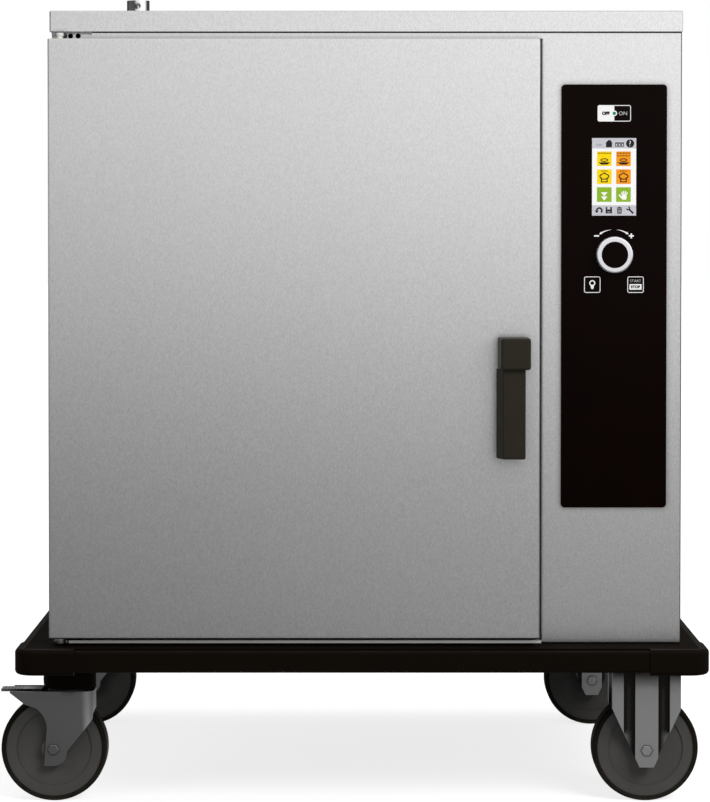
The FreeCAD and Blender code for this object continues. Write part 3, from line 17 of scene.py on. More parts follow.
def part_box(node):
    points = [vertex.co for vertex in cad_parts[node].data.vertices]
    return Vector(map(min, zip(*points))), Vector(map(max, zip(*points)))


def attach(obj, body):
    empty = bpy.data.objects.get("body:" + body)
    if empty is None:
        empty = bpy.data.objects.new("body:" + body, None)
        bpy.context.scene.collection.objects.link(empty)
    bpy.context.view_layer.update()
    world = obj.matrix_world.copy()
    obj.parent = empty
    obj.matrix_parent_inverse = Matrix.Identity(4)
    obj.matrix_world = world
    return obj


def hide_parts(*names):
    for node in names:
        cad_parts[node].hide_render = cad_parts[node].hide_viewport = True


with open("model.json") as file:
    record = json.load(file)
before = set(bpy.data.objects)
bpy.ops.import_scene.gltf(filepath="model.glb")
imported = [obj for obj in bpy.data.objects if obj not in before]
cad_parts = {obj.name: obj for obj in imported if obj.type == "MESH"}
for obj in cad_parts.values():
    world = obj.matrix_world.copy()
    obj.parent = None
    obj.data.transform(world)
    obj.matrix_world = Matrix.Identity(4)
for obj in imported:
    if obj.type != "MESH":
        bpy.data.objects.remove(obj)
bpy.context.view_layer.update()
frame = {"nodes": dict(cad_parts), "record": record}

LOG = logging.getLogger("trolley")
MM = 0.001
PRINT_RISE = 0.05
PHOTO_HEIGHT = 802

Point = Tuple[float, float]
Triple = Tuple[float, float, float]
Four = Tuple[float, float, float, float]
Rgba = Four


class Body(Enum):
    """Moving bodies that carry pieces made here."""

    CABINET = "cabinet"
    DOOR = "door"
    POWER_KEY = "power_key"
    LIGHT_KEY = "light_key"
    START_STOP_KEY = "start_stop_key"
    FRONT_PEDAL = "front_pedal"
    REAR_PEDAL = "rear_pedal"
    FRONT_SWIVEL = "front_swivel"
    REAR_SWIVEL = "rear_swivel"


class Grain(Enum):
    """Which way a surface was rubbed, as the stretch of its noise along X, Y and Z."""

    UPRIGHT = (1.0, 1.0, 0.4)
    LEVEL = (0.09, 1.0, 1.0)
    EVEN = (1.0, 1.0, 1.0)


class Socket(Enum):
    """Kinds of socket on the node groups made here."""

    VALUE = "NodeSocketFloat"
    COUNT = "NodeSocketInt"
    VECTOR = "NodeSocketVector"
    SHAPE = "NodeSocketObject"
    FINISH = "NodeSocketMaterial"
    GEOMETRY = "NodeSocketGeometry"


def srgb(red: int, green: int, blue: int) -> Rgba:
    """Turns a screen colour into the linear one that shaders take.

    Args:
        red: Red level, 0 to 255.
        green: Green level, 0 to 255.
        blue: Blue level, 0 to 255.

    Returns:
        The linear colour with full alpha.
    """
    shares = [level / 255 for level in (red, green, blue)]
    linear = [s / 12.92 if s <= 0.04045 else ((s + 0.055) / 1.055) ** 2.4 for s in shares]
    return (linear[0], linear[1], linear[2], 1.0)


def toned(colour: Rgba, share: float) -> Rgba:
    """Returns a colour made lighter or darker by a share."""
    return tuple(min(1.0, level * share) for level in colour[:3]) + (1.0,)


# Node trees


GRAIN_RANGE = (0.25, 0.75)
MOTTLE_RANGE = (0.3, 0.7)
EDGE_RANGE = (0.98, 0.80)
OPEN_RANGE = (0.80, 0.99)
WEAR_SCALE = 140.0
DUST_SCALE = 60.0


class Sketch:
    """Places nodes in one node tree and joins them."""

    def __init__(self, tree: NodeTree) -> None:
        """Starts on a tree."""
        self.tree = tree

    def feed(self, node: Node, inputs: Dict) -> None:
        """Sets or links inputs of a node.

        Args:
            node: The node.
            inputs: Values or sockets by input name or index.
        """
        for key, value in inputs.items():
            if isinstance(value, NodeSocket):
                self.tree.links.new(value, node.inputs[key])
            else:
                node.inputs[key].default_value = value

    def add(self, kind: str, inputs: Optional[Dict] = None, **settings: object) -> Node:
        """Adds one node.

        Args:
            kind: Blender's name for the node type.
            inputs: Values or sockets by input name or index.
            settings: Attributes of the node itself.

        Returns:
            The new node.
        """
        node = self.tree.nodes.new(kind)
        for key, value in settings.items():
            setattr(node, key, value)
        self.feed(node, inputs or {})
        return node

    def effect(self, group: NodeTree, inputs: Dict) -> NodeSocket:
        """Places a shared shader effect and returns its output."""
        return self.add("ShaderNodeGroup", inputs, node_tree=group).outputs[0]

    def tint(self, share: NodeSocket, low: object, high: object) -> NodeSocket:
        """Mixes two colours by a share and returns the colour socket."""
        return self.add("ShaderNodeMix", {0: share, 6: low, 7: high}, data_type="RGBA").outputs[2]

    def span(self, value: NodeSocket, low: float, high: float, start: float = 0.0, end: object = 1.0,
             interpolation: str = "LINEAR") -> NodeSocket:
        """Stretches a value to new ends.

        Args:
            value: The value.
            low: What it becomes at its start.
            high: What it becomes at its end.
            start: Its start.
            end: Its end, which may be a socket.
            interpolation: Blender's name for how it goes from one to the other.

        Returns:
            The socket of the result.
        """
        ends = {"Value": value, "From Min": start, "From Max": end, "To Min": low, "To Max": high}
        return self.add("ShaderNodeMapRange", ends, interpolation_type=interpolation).outputs["Result"]

    def maths(self, operation: str, first: NodeSocket, second: object) -> NodeSocket:
        """Joins two values by Blender's operation of that name and returns the socket."""
        return self.add("ShaderNodeMath", {0: first, 1: second}, operation=operation).outputs[0]

    def product(self, first: NodeSocket, second: object) -> NodeSocket:
        """Multiplies two values and returns the socket."""
        return self.maths("MULTIPLY", first, second)

    def noise(self, place: NodeSocket, scale: object, detail: float, roughness: float = 0.5,
              distortion: float = 0.0) -> NodeSocket:
        """Adds noise.

        Args:
            place: Coordinates.
            scale: Fineness, as a number or a socket.
            detail: Octaves.
            roughness: Weight of the finer octaves.
            distortion: How far it is warped.

        Returns:
            The socket of its value.
        """
        inputs = {"Vector": place, "Scale": scale, "Detail": detail, "Roughness": roughness,
                  "Distortion": distortion}
        return self.add("ShaderNodeTexNoise", inputs).outputs[0]


def started(name: str, kind: str, inputs: Dict[str, Socket], output: Socket) -> Tuple:
    """Starts a node group with named inputs and one output.

    Args:
        name: The group's name.
        kind: Blender's name for its kind of tree.
        inputs: The kind of each input by its name.
        output: The kind of its output.

    Returns:
        A sketch on the group, the sockets of its inputs and its output node.
    """
    group = bpy.data.node_groups.new(name, kind)
    for label, socket in inputs.items():
        group.interface.new_socket(label, in_out="INPUT", socket_type=socket.value)
    group.interface.new_socket("Result", in_out="OUTPUT", socket_type=output.value)
    sketch = Sketch(group)
    return sketch, sketch.add("NodeGroupInput").outputs, sketch.add("NodeGroupOutput")


def shader_effect(name: str, **inputs: Socket) -> Tuple:
    """Starts a shader node group that puts out one value, as started() does."""
    return started(name, "ShaderNodeTree", inputs, Socket.VALUE)


def rubbed_grain_effect() -> NodeTree:
    """Builds fine noise drawn out along the way a sheet was rubbed.

    Returns:
        The node group.
    """
    sketch, start, end = shader_effect("rubbed_grain", Vector=Socket.VECTOR, Stretch=Socket.VECTOR,
                                       Scale=Socket.VALUE)
    drawn = sketch.add("ShaderNodeVectorMath", {0: start["Vector"], 1: start["Stretch"]},
                       operation="MULTIPLY")
    noise = sketch.noise(drawn.outputs[0], start["Scale"], 2.0, 0.65)
    sketch.feed(end, {0: sketch.span(noise, 0.0, 1.0, *GRAIN_RANGE)})
    return sketch.tree


def soft_mottle_effect() -> NodeTree:
    """Builds broad, soft unevenness such as wiping leaves.

    Returns:
        The node group.
    """
    sketch, start, end = shader_effect("soft_mottle", Vector=Socket.VECTOR, Scale=Socket.VALUE)
    noise = sketch.noise(start["Vector"], start["Scale"], 4.0, 0.55, 0.4)
    sketch.feed(end, {0: sketch.span(noise, 0.0, 1.0, *MOTTLE_RANGE)})
    return sketch.tree


def edge_wear_effect() -> NodeTree:
    """Builds a mask that is white along worn edges and broken up by noise.

    Returns:
        The node group.
    """
    sketch, start, end = shader_effect("edge_wear", Vector=Socket.VECTOR, Radius=Socket.VALUE)
    rounded = sketch.add("ShaderNodeBevel", {"Radius": start["Radius"]}, samples=6)
    true = sketch.add("ShaderNodeNewGeometry")
    bend = sketch.add("ShaderNodeVectorMath", {0: rounded.outputs[0], 1: true.outputs["True Normal"]},
                      operation="DOT_PRODUCT")
    edge = sketch.span(bend.outputs["Value"], 0.0, 1.0, *EDGE_RANGE)
    sketch.feed(end, {0: sketch.product(edge, sketch.noise(start["Vector"], WEAR_SCALE, 3.0))})
    return sketch.tree


def painted_recess_shade_effect() -> NodeTree:
    """Builds a painted shade mask from ambient occlusion: white in the open and dark deep in recesses, where
    shade falls.

    Returns:
        The node group.
    """
    sketch, start, end = shader_effect("crevice", Reach=Socket.VALUE)
    hidden = sketch.add("ShaderNodeAmbientOcclusion", {"Distance": start["Reach"]}, samples=8)
    sketch.feed(end, {0: sketch.span(hidden.outputs["AO"], 0.0, 1.0, *OPEN_RANGE)})
    return sketch.tree


def floor_dust_effect() -> NodeTree:
    """Builds a mask of dust that is thickest at the floor and gone at a given height.

    Returns:
        The node group.
    """
    sketch, start, end = shader_effect("floor_dust", Vector=Socket.VECTOR, Height=Socket.VALUE)
    parts = sketch.add("ShaderNodeSeparateXYZ", {0: start["Vector"]})
    rise = sketch.span(parts.outputs["Z"], 1.0, 0.0, 0.0, start["Height"])
    sketch.feed(end, {0: sketch.product(rise, sketch.noise(start["Vector"], DUST_SCALE, 5.0))})
    return sketch.tree


RUBBED_GRAIN = rubbed_grain_effect()
SOFT_MOTTLE = soft_mottle_effect()
EDGE_WEAR = edge_wear_effect()
PAINTED_RECESS_SHADE = painted_recess_shade_effect()
FLOOR_DUST = floor_dust_effect()


# Finishes


WIPED = (0.5, 0.5, 0.5, 1.0)
WIPED_SHARE = 0.04
WIPED_SCALE = 5.0
WIPED_GLOSS = 0.006
GRAIN_GLOSS = 0.03
# Colour of the painted shade that darkens recesses and narrow gaps.
PAINTED_SHADE_COLOUR = srgb(26, 22, 14)
DUST = srgb(150, 144, 134)
DUST_SHARE = 0.12
WORN_RADIUS = 0.0015
SPECKLE = 0.16
MOULD_SCALE = 22.0
MOULD_GLOSS = (-0.05, 0.06)
THIN_INK = 0.94
INK_SCALE = 300.0
INK_GLOSS = (0.3, 0.42)
HAZE = 0.08
HAZE_SCALE = 40.0


def new_surface(name: str) -> Tuple[Material, Sketch, Node, NodeSocket]:
    """Starts a material.

    Args:
        name: The material's name.

    Returns:
        The material, a sketch on its tree, its Principled shader and the object coordinates.
    """
    material = bpy.data.materials.new(name)
    material.use_nodes = True
    sketch = Sketch(material.node_tree)
    shader = material.node_tree.nodes["Principled BSDF"]
    place = sketch.add("ShaderNodeTexCoord").outputs["Object"]
    return material, sketch, shader, place


@dataclass(frozen=True)
class RubbedMetal:
    """Sheet or bar metal with a rubbed grain.

    Attributes:
        name: Material name.
        colour: Mean reflected colour.
        roughness: Mean roughness.
        grain: Which way it was rubbed.
        scale: Fineness of the grain, per metre.
        contrast: How far the grain lightens and darkens the colour.
        relief: Depth of the grain in metres.
        shade: How far painted shade darkens its recesses and narrow gaps, from 0 to 1.
        reach: How wide a recess may be to be darkened by painted shade, in metres.
    """

    name: str
    colour: Rgba
    roughness: float = 0.36
    grain: Grain = Grain.UPRIGHT
    scale: float = 1500.0
    contrast: float = 0.10
    relief: float = 0.00002
    shade: float = 0.0
    reach: float = 0.03

    def material(self) -> Material:
        """Builds the material.

        Returns:
            The material.
        """
        material, sketch, shader, place = new_surface(self.name)
        grain = sketch.effect(RUBBED_GRAIN, {"Vector": place, "Stretch": self.grain.value,
                                             "Scale": self.scale})
        mottle = sketch.effect(SOFT_MOTTLE, {"Vector": place, "Scale": WIPED_SCALE})
        tone = sketch.tint(grain, toned(self.colour, 1 - self.contrast),
                           toned(self.colour, 1 + self.contrast))
        tone = sketch.tint(sketch.span(mottle, 0.0, WIPED_SHARE), tone, WIPED)
        # Painted shade: ambient occlusion mixes the colour towards the shade colour in recesses and narrow
        # gaps.
        if self.shade > 0:
            unhidden = sketch.effect(PAINTED_RECESS_SHADE, {"Reach": self.reach})
            tone = sketch.tint(sketch.span(unhidden, self.shade, 0.0), tone, PAINTED_SHADE_COLOUR)
        rough = sketch.maths("ADD", sketch.span(grain, -GRAIN_GLOSS, GRAIN_GLOSS),
                             sketch.span(mottle, self.roughness - WIPED_GLOSS, self.roughness + WIPED_GLOSS))
        bump = sketch.add("ShaderNodeBump", {"Strength": 0.5, "Distance": self.relief, "Height": grain})
        sketch.feed(shader, {"Metallic": 1.0, "Base Color": tone, "Roughness": rough,
                             "Normal": bump.outputs["Normal"]})
        return material


@dataclass(frozen=True)
class Moulded:
    """Plastic, rubber, paint or wool: a dull colour with fine speckle, worn edges and dust.

    Attributes:
        name: Material name.
        colour: Mean colour.
        roughness: Mean roughness.
        specular: Level of the plain shine.
        scale: Fineness of the speckle, per metre.
        relief: Depth of the speckle in metres.
        worn: Colour of rubbed edges, or None where none show.
        wear: How strongly the edges show it.
        dust: Height that floor dust reaches in metres, or 0.
    """

    name: str
    colour: Rgba
    roughness: float = 0.5
    specular: float = 0.3
    scale: float = 900.0
    relief: float = 0.00004
    worn: Optional[Rgba] = None
    wear: float = 0.5
    dust: float = 0.0

    def material(self) -> Material:
        """Builds the material.

        Returns:
            The material.
        """
        material, sketch, shader, place = new_surface(self.name)
        speckle = sketch.effect(RUBBED_GRAIN, {"Vector": place, "Stretch": Grain.EVEN.value,
                                               "Scale": self.scale})
        mottle = sketch.effect(SOFT_MOTTLE, {"Vector": place, "Scale": MOULD_SCALE})
        mean = sketch.product(sketch.maths("ADD", speckle, mottle), 0.5)
        tone = sketch.tint(mean, toned(self.colour, 1 - SPECKLE), toned(self.colour, 1 + SPECKLE))
        if self.worn is not None:
            wear = sketch.effect(EDGE_WEAR, {"Vector": place, "Radius": WORN_RADIUS})
            tone = sketch.tint(sketch.product(wear, self.wear), tone, self.worn)
        if self.dust > 0:
            dust = sketch.effect(FLOOR_DUST, {"Vector": place, "Height": self.dust})
            tone = sketch.tint(sketch.product(dust, DUST_SHARE), tone, DUST)
        rough = sketch.span(mottle, *(self.roughness + change for change in MOULD_GLOSS))
        bump = sketch.add("ShaderNodeBump", {"Strength": 0.6, "Distance": self.relief, "Height": speckle})
        sketch.feed(shader, {"Specular IOR Level": self.specular, "Base Color": tone, "Roughness": rough,
                             "Normal": bump.outputs["Normal"]})
        return material


@dataclass(frozen=True)
class Print:
    """Screen ink or a lit display field.

    Attributes:
        name: Material name.
        colour: Ink colour.
        glow: Strength of its own light; on the white ink, which is no lamp, it is painted glow.
    """

    name: str
    colour: Rgba
    glow: float = 0.0

    def material(self) -> Material:
        """Builds the material.

        Returns:
            The material.
        """
        material, sketch, shader, place = new_surface(self.name)
        mottle = sketch.effect(SOFT_MOTTLE, {"Vector": place, "Scale": INK_SCALE})
        tone = sketch.tint(mottle, toned(self.colour, THIN_INK), self.colour)
        sketch.feed(shader, {"Specular IOR Level": 0.2, "Emission Strength": self.glow, "Base Color": tone,
                             "Emission Color": tone, "Roughness": sketch.span(mottle, *INK_GLOSS)})
        return material


@dataclass(frozen=True)
class ClearGlass:
    """Clear or faintly tinted glass.

    Attributes:
        name: Material name.
        colour: Tint.
        roughness: Roughness where it is clearest.
    """

    name: str
    colour: Rgba
    roughness: float = 0.08

    def material(self) -> Material:
        """Builds the material.

        Returns:
            The material.
        """
        material, sketch, shader, place = new_surface(self.name)
        mottle = sketch.effect(SOFT_MOTTLE, {"Vector": place, "Scale": HAZE_SCALE})
        haze = sketch.span(mottle, self.roughness, self.roughness + HAZE)
        sketch.feed(shader, {"Base Color": self.colour, "Transmission Weight": 0.7, "IOR": 1.5,
                             "Roughness": haze})
        return material


SLOT_FINISHES = {finish.name: finish for finish in (
    # shade sets how far painted shade from ambient occlusion darkens each metal's recesses and gaps.
    RubbedMetal("satin_steel", srgb(206, 206, 206), roughness=0.37, scale=1000.0, contrast=0.16,
                shade=0.26, reach=0.007),
    RubbedMetal("liner_steel", srgb(205, 204, 201), roughness=0.30, grain=Grain.LEVEL),
    RubbedMetal("bright_steel", srgb(206, 206, 208), roughness=0.14, grain=Grain.EVEN,
                contrast=0.03, relief=0.000004, shade=0.4, reach=0.012),
    RubbedMetal("knob_steel", srgb(224, 223, 227), roughness=0.34, grain=Grain.EVEN, contrast=0.05),
    RubbedMetal("bush_brass", srgb(212, 207, 194), roughness=0.32, grain=Grain.EVEN),
    RubbedMetal("castor_steel", srgb(150, 150, 152), roughness=0.34, grain=Grain.EVEN, shade=0.85),
    RubbedMetal("bracket_steel", srgb(184, 184, 184), roughness=0.42, grain=Grain.EVEN, shade=0.97),
    Moulded("chassis_paint", srgb(17, 12, 8), roughness=0.75, specular=0.02, dust=0.10),
    Moulded("bumper_rubber", srgb(15, 9, 4), roughness=0.6, specular=0.06,
            worn=srgb(40, 36, 32), wear=0.3),
    Moulded("gasket_rubber", srgb(46, 46, 47), roughness=0.6, specular=0.25),
    Moulded("tyre_rubber", srgb(20, 16, 8), roughness=0.6, specular=0.08,
            worn=srgb(44, 41, 36), wear=0.3, dust=0.10),
    Moulded("wheel_plastic", srgb(84, 83, 82), roughness=0.5, specular=0.15,
            worn=srgb(104, 103, 102), wear=0.3, dust=0.14),
    Moulded("handle_plastic", srgb(46, 42, 34), roughness=0.42, specular=0.12,
            worn=srgb(70, 66, 58), wear=0.25),
    Moulded("panel_black", srgb(12, 3, 2), roughness=0.22, specular=0.03, scale=300.0,
            relief=0.000002),
    Moulded("key_black", srgb(14, 5, 4), roughness=0.30, specular=0.04, scale=500.0, relief=0.000004),
    Moulded("display_glass", srgb(30, 30, 34), roughness=0.12, specular=0.3, relief=0.000001),
    Moulded("mineral_wool", srgb(196, 178, 120), roughness=0.95, specular=0.1, scale=260.0,
            relief=0.0012),
    Moulded("motor_paint", srgb(128, 132, 138), roughness=0.45, specular=0.4),
    Moulded("module_plastic", srgb(70, 72, 76), roughness=0.5),
    Moulded("board_green", srgb(24, 92, 52), roughness=0.35, specular=0.4, scale=420.0),
    ClearGlass("lamp_glass", srgb(240, 238, 226)),
)}
# The white ink of the keys and the knob glows though it is no lamp: painted glow.
WHITE_INK_PAINTED_GLOW = Print("white_ink", srgb(250, 250, 250), glow=0.22)
DARK_INK = Print("dark_ink", srgb(22, 20, 20))
GREEN_LAMP = Print("green_lamp", srgb(24, 128, 84), glow=0.25)
SCREEN_WHITE = Print("screen_white", srgb(252, 252, 252), glow=0.25)
SCREEN_GREY = Print("screen_grey", srgb(206, 205, 212), glow=0.2)
TILE_YELLOW = Print("tile_yellow", srgb(255, 218, 2), glow=0.26)
TILE_ORANGE = Print("tile_orange", srgb(250, 156, 18), glow=0.26)
TILE_GREEN = Print("tile_green", srgb(146, 188, 46), glow=0.2)
SCREEN_DIM = Print("screen_dim", srgb(120, 128, 160), glow=0.1)


class Paintbox:
    """Makes each finish once."""

    def __init__(self) -> None:
        """Starts with no materials."""
        self.made: Dict[str, Material] = {}

    def get(self, finish: object) -> Material:
        """Gives a finish's material, built at its first use.

        Args:
            finish: The finish.

        Returns:
            The material.
        """
        if finish.name not in self.made:
            self.made[finish.name] = finish.material()
        return self.made[finish.name]

    def slot(self, name: str) -> Material:
        """Returns the material of one of the record's slots."""
        return self.get(SLOT_FINISHES[name])


PAINT = Paintbox()


# Meshes


def new_object(name: str, mesh: Mesh, material: Material) -> Object:
    """Links a mesh to the scene as an object at the origin.

    Args:
        name: Object name.
        mesh: Its mesh, already in place.
        material: Its only material.

    Returns:
        The object.
    """
    mesh.name = name
    mesh.materials.clear()
    mesh.materials.append(material)
    piece = bpy.data.objects.new(name, mesh)
    bpy.context.scene.collection.objects.link(piece)
    return piece


def plain_mesh(name: str, shape: BMesh) -> Mesh:
    """Turns a working mesh into mesh data.

    Args:
        name: Name of the data.
        shape: The working mesh, which is freed.

    Returns:
        The mesh data.
    """
    data = bpy.data.meshes.new(name)
    shape.to_mesh(data)
    shape.free()
    return data


def evaluated_mesh(piece: Object) -> Mesh:
    """Makes a plain mesh of an object as its modifiers leave it.

    Args:
        piece: The object.

    Returns:
        The mesh.
    """
    bpy.context.view_layer.update()
    graph = bpy.context.evaluated_depsgraph_get()
    return bpy.data.meshes.new_from_object(piece.evaluated_get(graph))


def discard(piece: Object) -> None:
    """Removes a helper object and its data.

    Args:
        piece: The helper.
    """
    data = piece.data
    bpy.data.objects.remove(piece)
    if isinstance(data, Mesh) and not data.users:
        bpy.data.meshes.remove(data)
    elif isinstance(data, Curve) and not data.users:
        bpy.data.curves.remove(data)


def carry(piece: Object, body: Body) -> None:
    """Puts a finished piece on its body.

    Args:
        piece: The piece.
        body: The body it rides on.
    """
    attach(piece, body.value)
    LOG.info("%s rides on %s", piece.name, body.value)


@dataclass(frozen=True)
class Extent:
    """Box of a node at rest, in millimetres."""

    low: Vector
    high: Vector

    @classmethod
    def of(cls, node: str) -> "Extent":
        """Returns the extent of a node of the frame."""
        low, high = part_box(node)
        return cls(low / MM, high / MM)

    @property
    def middle(self) -> Vector:
        """The box's centre."""
        return (self.low + self.high) / 2

    @property
    def size(self) -> Vector:
        """The box's width, depth and height."""
        return self.high - self.low


def arc(x: float, z: float, radius: float, start: float, end: float, steps: int) -> List[Point]:
    """Points along an arc.

    Args:
        x: Centre across.
        z: Centre height.
        radius: Arc radius.
        start: First angle in degrees, from +X towards +Z.
        end: Last angle in degrees.
        steps: How many runs it is split into.

    Returns:
        The points, both ends included.
    """
    angles = [math.radians(start + (end - start) * i / steps) for i in range(steps + 1)]
    return [(x + radius * math.cos(a), z + radius * math.sin(a)) for a in angles]


def disc(x: float, z: float, radius: float, steps: int = 24) -> List[Point]:
    """Outline of a disc."""
    return arc(x, z, radius, 0, 360, steps)[:-1]


def oval(x: float, z: float, width: float, height: float) -> List[Point]:
    """Outline of an oval of the given full width and height."""
    return [(x + across * width / 2, z + up * height / 2) for across, up in disc(0, 0, 1)]


def placed(x: float, z: float, unit: float, shape: Sequence[Point]) -> List[Point]:
    """A shape drawn in units about its middle, moved to its place."""
    return [(x + across * unit, z + up * unit) for across, up in shape]


def slab(x: float, z: float, width: float, height: float, corner: float = 0.0) -> List[Point]:
    """Outline of a rectangle with round corners.

    Args:
        x: Centre across.
        z: Centre height.
        width: Full width.
        height: Full height.
        corner: Corner radius.

    Returns:
        The outline, anticlockwise.
    """
    right, top = width / 2 - corner, height / 2 - corner
    if corner <= 0:
        return [(x - right, z - top), (x + right, z - top), (x + right, z + top), (x - right, z + top)]
    points: List[Point] = []
    for side_x, side_z, start in ((1, -1, 270), (1, 1, 0), (-1, 1, 90), (-1, -1, 180)):
        points += arc(x + side_x * right, z + side_z * top, corner, start, start + 90, 5)
    return points


def stroke(points: Sequence[Point], widths: Sequence[float]) -> List[Point]:
    """Outline of a line whose width changes along it.

    Args:
        points: The line.
        widths: The full width at each point.

    Returns:
        The outline, up one side and down the other.
    """
    left: List[Point] = []
    right: List[Point] = []
    for index, (x, z) in enumerate(points):
        before = points[max(0, index - 1)]
        after = points[min(len(points) - 1, index + 1)]
        run = math.hypot(after[0] - before[0], after[1] - before[1])
        normal = (-(after[1] - before[1]) / run, (after[0] - before[0]) / run)
        half = widths[index] / 2
        left.append((x + normal[0] * half, z + normal[1] * half))
        right.append((x - normal[0] * half, z - normal[1] * half))
    return left + right[::-1]


class Marks:
    """Thin raised marks on an upright face that looks along -Y, in millimetres."""

    def __init__(self, face: float, rise: float = PRINT_RISE) -> None:
        """Starts on a face.

        Args:
            face: The carrier's Y.
            rise: How far the marks stand proud.
        """
        self.back = face
        self.front = face - rise
        self.mesh = bmesh.new()

    def _ring(self, outline: Sequence[Point], y: float) -> List[BMVert]:
        """Adds one loop of points at a depth."""
        return [self.mesh.verts.new((x * MM, y * MM, z * MM)) for x, z in outline]

    def fill(self, outline: Sequence[Point]) -> None:
        """Adds a filled shape.

        Args:
            outline: Its outline.
        """
        back = self._ring(outline, self.back)
        front = self._ring(outline, self.front)
        self.mesh.faces.new(front)
        self.mesh.faces.new(back[::-1])
        for i in range(len(front)):
            self.mesh.faces.new((front[i - 1], back[i - 1], back[i], front[i]))

    def border(self, outer: Sequence[Point], inner: Sequence[Point]) -> None:
        """Adds the band between two outlines with as many points.

        Args:
            outer: The outer outline.
            inner: The inner outline.
        """
        loops = [self._ring(outer, self.front), self._ring(inner, self.front),
                 self._ring(inner, self.back), self._ring(outer, self.back)]
        for near, far in zip(loops, loops[1:] + loops[:1]):
            for i in range(len(near)):
                self.mesh.faces.new((near[i - 1], near[i], far[i], far[i - 1]))

    def letters(self, text: str, x: float, z: float, height: float, weight: float = 0.02) -> None:
        """Adds generic lettering.

        Args:
            text: What it says.
            x: Centre across.
            z: Centre height.
            height: Height of the letters.
            weight: How far the strokes are thickened, as a share of the font's size.
        """
        curve = bpy.data.curves.new(text, "FONT")
        curve.body = text
        curve.resolution_u = 4
        curve.extrude = 0.5
        curve.offset = weight
        helper = bpy.data.objects.new(text, curve)
        bpy.context.scene.collection.objects.link(helper)
        mesh = evaluated_mesh(helper)
        discard(helper)
        xs = [v.co.x for v in mesh.vertices]
        ys = [v.co.y for v in mesh.vertices]
        scale = height / (max(ys) - min(ys))
        rise = self.back - self.front
        for vert in mesh.vertices:
            across = (vert.co.x - (min(xs) + max(xs)) / 2) * scale
            up = (vert.co.y - (min(ys) + max(ys)) / 2) * scale
            out = (vert.co.z + 0.5) * rise
            vert.co = Vector((x + across, self.back - out, z + up)) * MM
        self.mesh.from_mesh(mesh)
        bpy.data.meshes.remove(mesh)

    def finish(self, name: str, finish: object, body: Body, slot: str) -> None:
        """Closes the marks into a piece.

        Args:
            name: Piece name.
            finish: Its finish.
            body: The body it rides on.
            slot: The record's slot it belongs to; it is not used.
        """
        bmesh.ops.remove_doubles(self.mesh, verts=self.mesh.verts, dist=1e-7)
        bmesh.ops.recalc_face_normals(self.mesh, faces=self.mesh.faces)
        carry(new_object(name, plain_mesh(name, self.mesh), PAINT.get(finish)), body)


def lathe(profile: Sequence[Point], steps: int) -> BMesh:
    """Turns a closed-ended profile about Z.

    Args:
        profile: Radius and height of each point; the ends lie on the axis.
        steps: Sides of the turn.

    Returns:
        The turned mesh, in millimetres.
    """
    mesh = bmesh.new()
    rings = []
    for radius, height in profile:
        if radius <= 0:
            rings.append([mesh.verts.new((0, 0, height))])
            continue
        turns = [2 * math.pi * i / steps for i in range(steps)]
        rings.append([mesh.verts.new((radius * math.cos(t), radius * math.sin(t), height)) for t in turns])
    for low, high in zip(rings, rings[1:]):
        for i in range(steps):
            after = i + 1
            corners = [low[i % len(low)], low[after % len(low)], high[after % len(high)], high[i % len(high)]]
            mesh.faces.new(list(dict.fromkeys(corners)))
    bmesh.ops.recalc_face_normals(mesh, faces=mesh.faces)
    return mesh


# Geometry Nodes


def geometry_tree(name: str, **inputs: Socket) -> Tuple:
    """Starts a geometry tree that takes a geometry, its own inputs and a finish, as started() does."""
    sockets = {"Geometry": Socket.GEOMETRY, **inputs, "Finish": Socket.FINISH}
    return started(name, "GeometryNodeTree", sockets, Socket.GEOMETRY)


def close_tree(sketch: Sketch, geometry: NodeSocket, finish: NodeSocket,
               end: Node) -> None:
    """Ends a tree with real geometry in the finish that its input names.

    Args:
        sketch: The sketch on the tree.
        geometry: What it makes.
        finish: The input for the finish.
        end: The tree's output node.
    """
    real = sketch.add("GeometryNodeRealizeInstances", {0: geometry})
    painted = sketch.add("GeometryNodeSetMaterial", {"Geometry": real.outputs[0], "Material": finish})
    sketch.feed(end, {0: painted.outputs[0]})


def copies(sketch: Sketch, points: NodeSocket, shape: NodeSocket) -> NodeSocket:
    """Puts the shape that an input names on every point.

    Args:
        sketch: The sketch on the tree.
        points: The points.
        shape: The input for the shape.

    Returns:
        The socket of the copies.
    """
    known = sketch.add("GeometryNodeObjectInfo", {"Object": shape})
    inputs = {"Points": points, "Instance": known.outputs["Geometry"]}
    return sketch.add("GeometryNodeInstanceOnPoints", inputs).outputs[0]


def scattered_tree() -> NodeTree:
    """Puts one shape on every point of the mesh.

    Returns:
        The geometry tree.
    """
    sketch, start, end = geometry_tree("fixings_on_points", Shape=Socket.SHAPE)
    close_tree(sketch, copies(sketch, start["Geometry"], start["Shape"]), start["Finish"], end)
    return sketch.tree


def row_tree() -> NodeTree:
    """Puts one shape at even steps along a line.

    Returns:
        The geometry tree.
    """
    sketch, start, end = geometry_tree("even_row", Start=Socket.VECTOR, Step=Socket.VECTOR,
                                       Count=Socket.COUNT, Shape=Socket.SHAPE)
    inputs = {"Count": start["Count"], "Start Location": start["Start"], "Offset": start["Step"]}
    line = sketch.add("GeometryNodeMeshLine", inputs, mode="OFFSET")
    close_tree(sketch, copies(sketch, line.outputs[0], start["Shape"]), start["Finish"], end)
    return sketch.tree


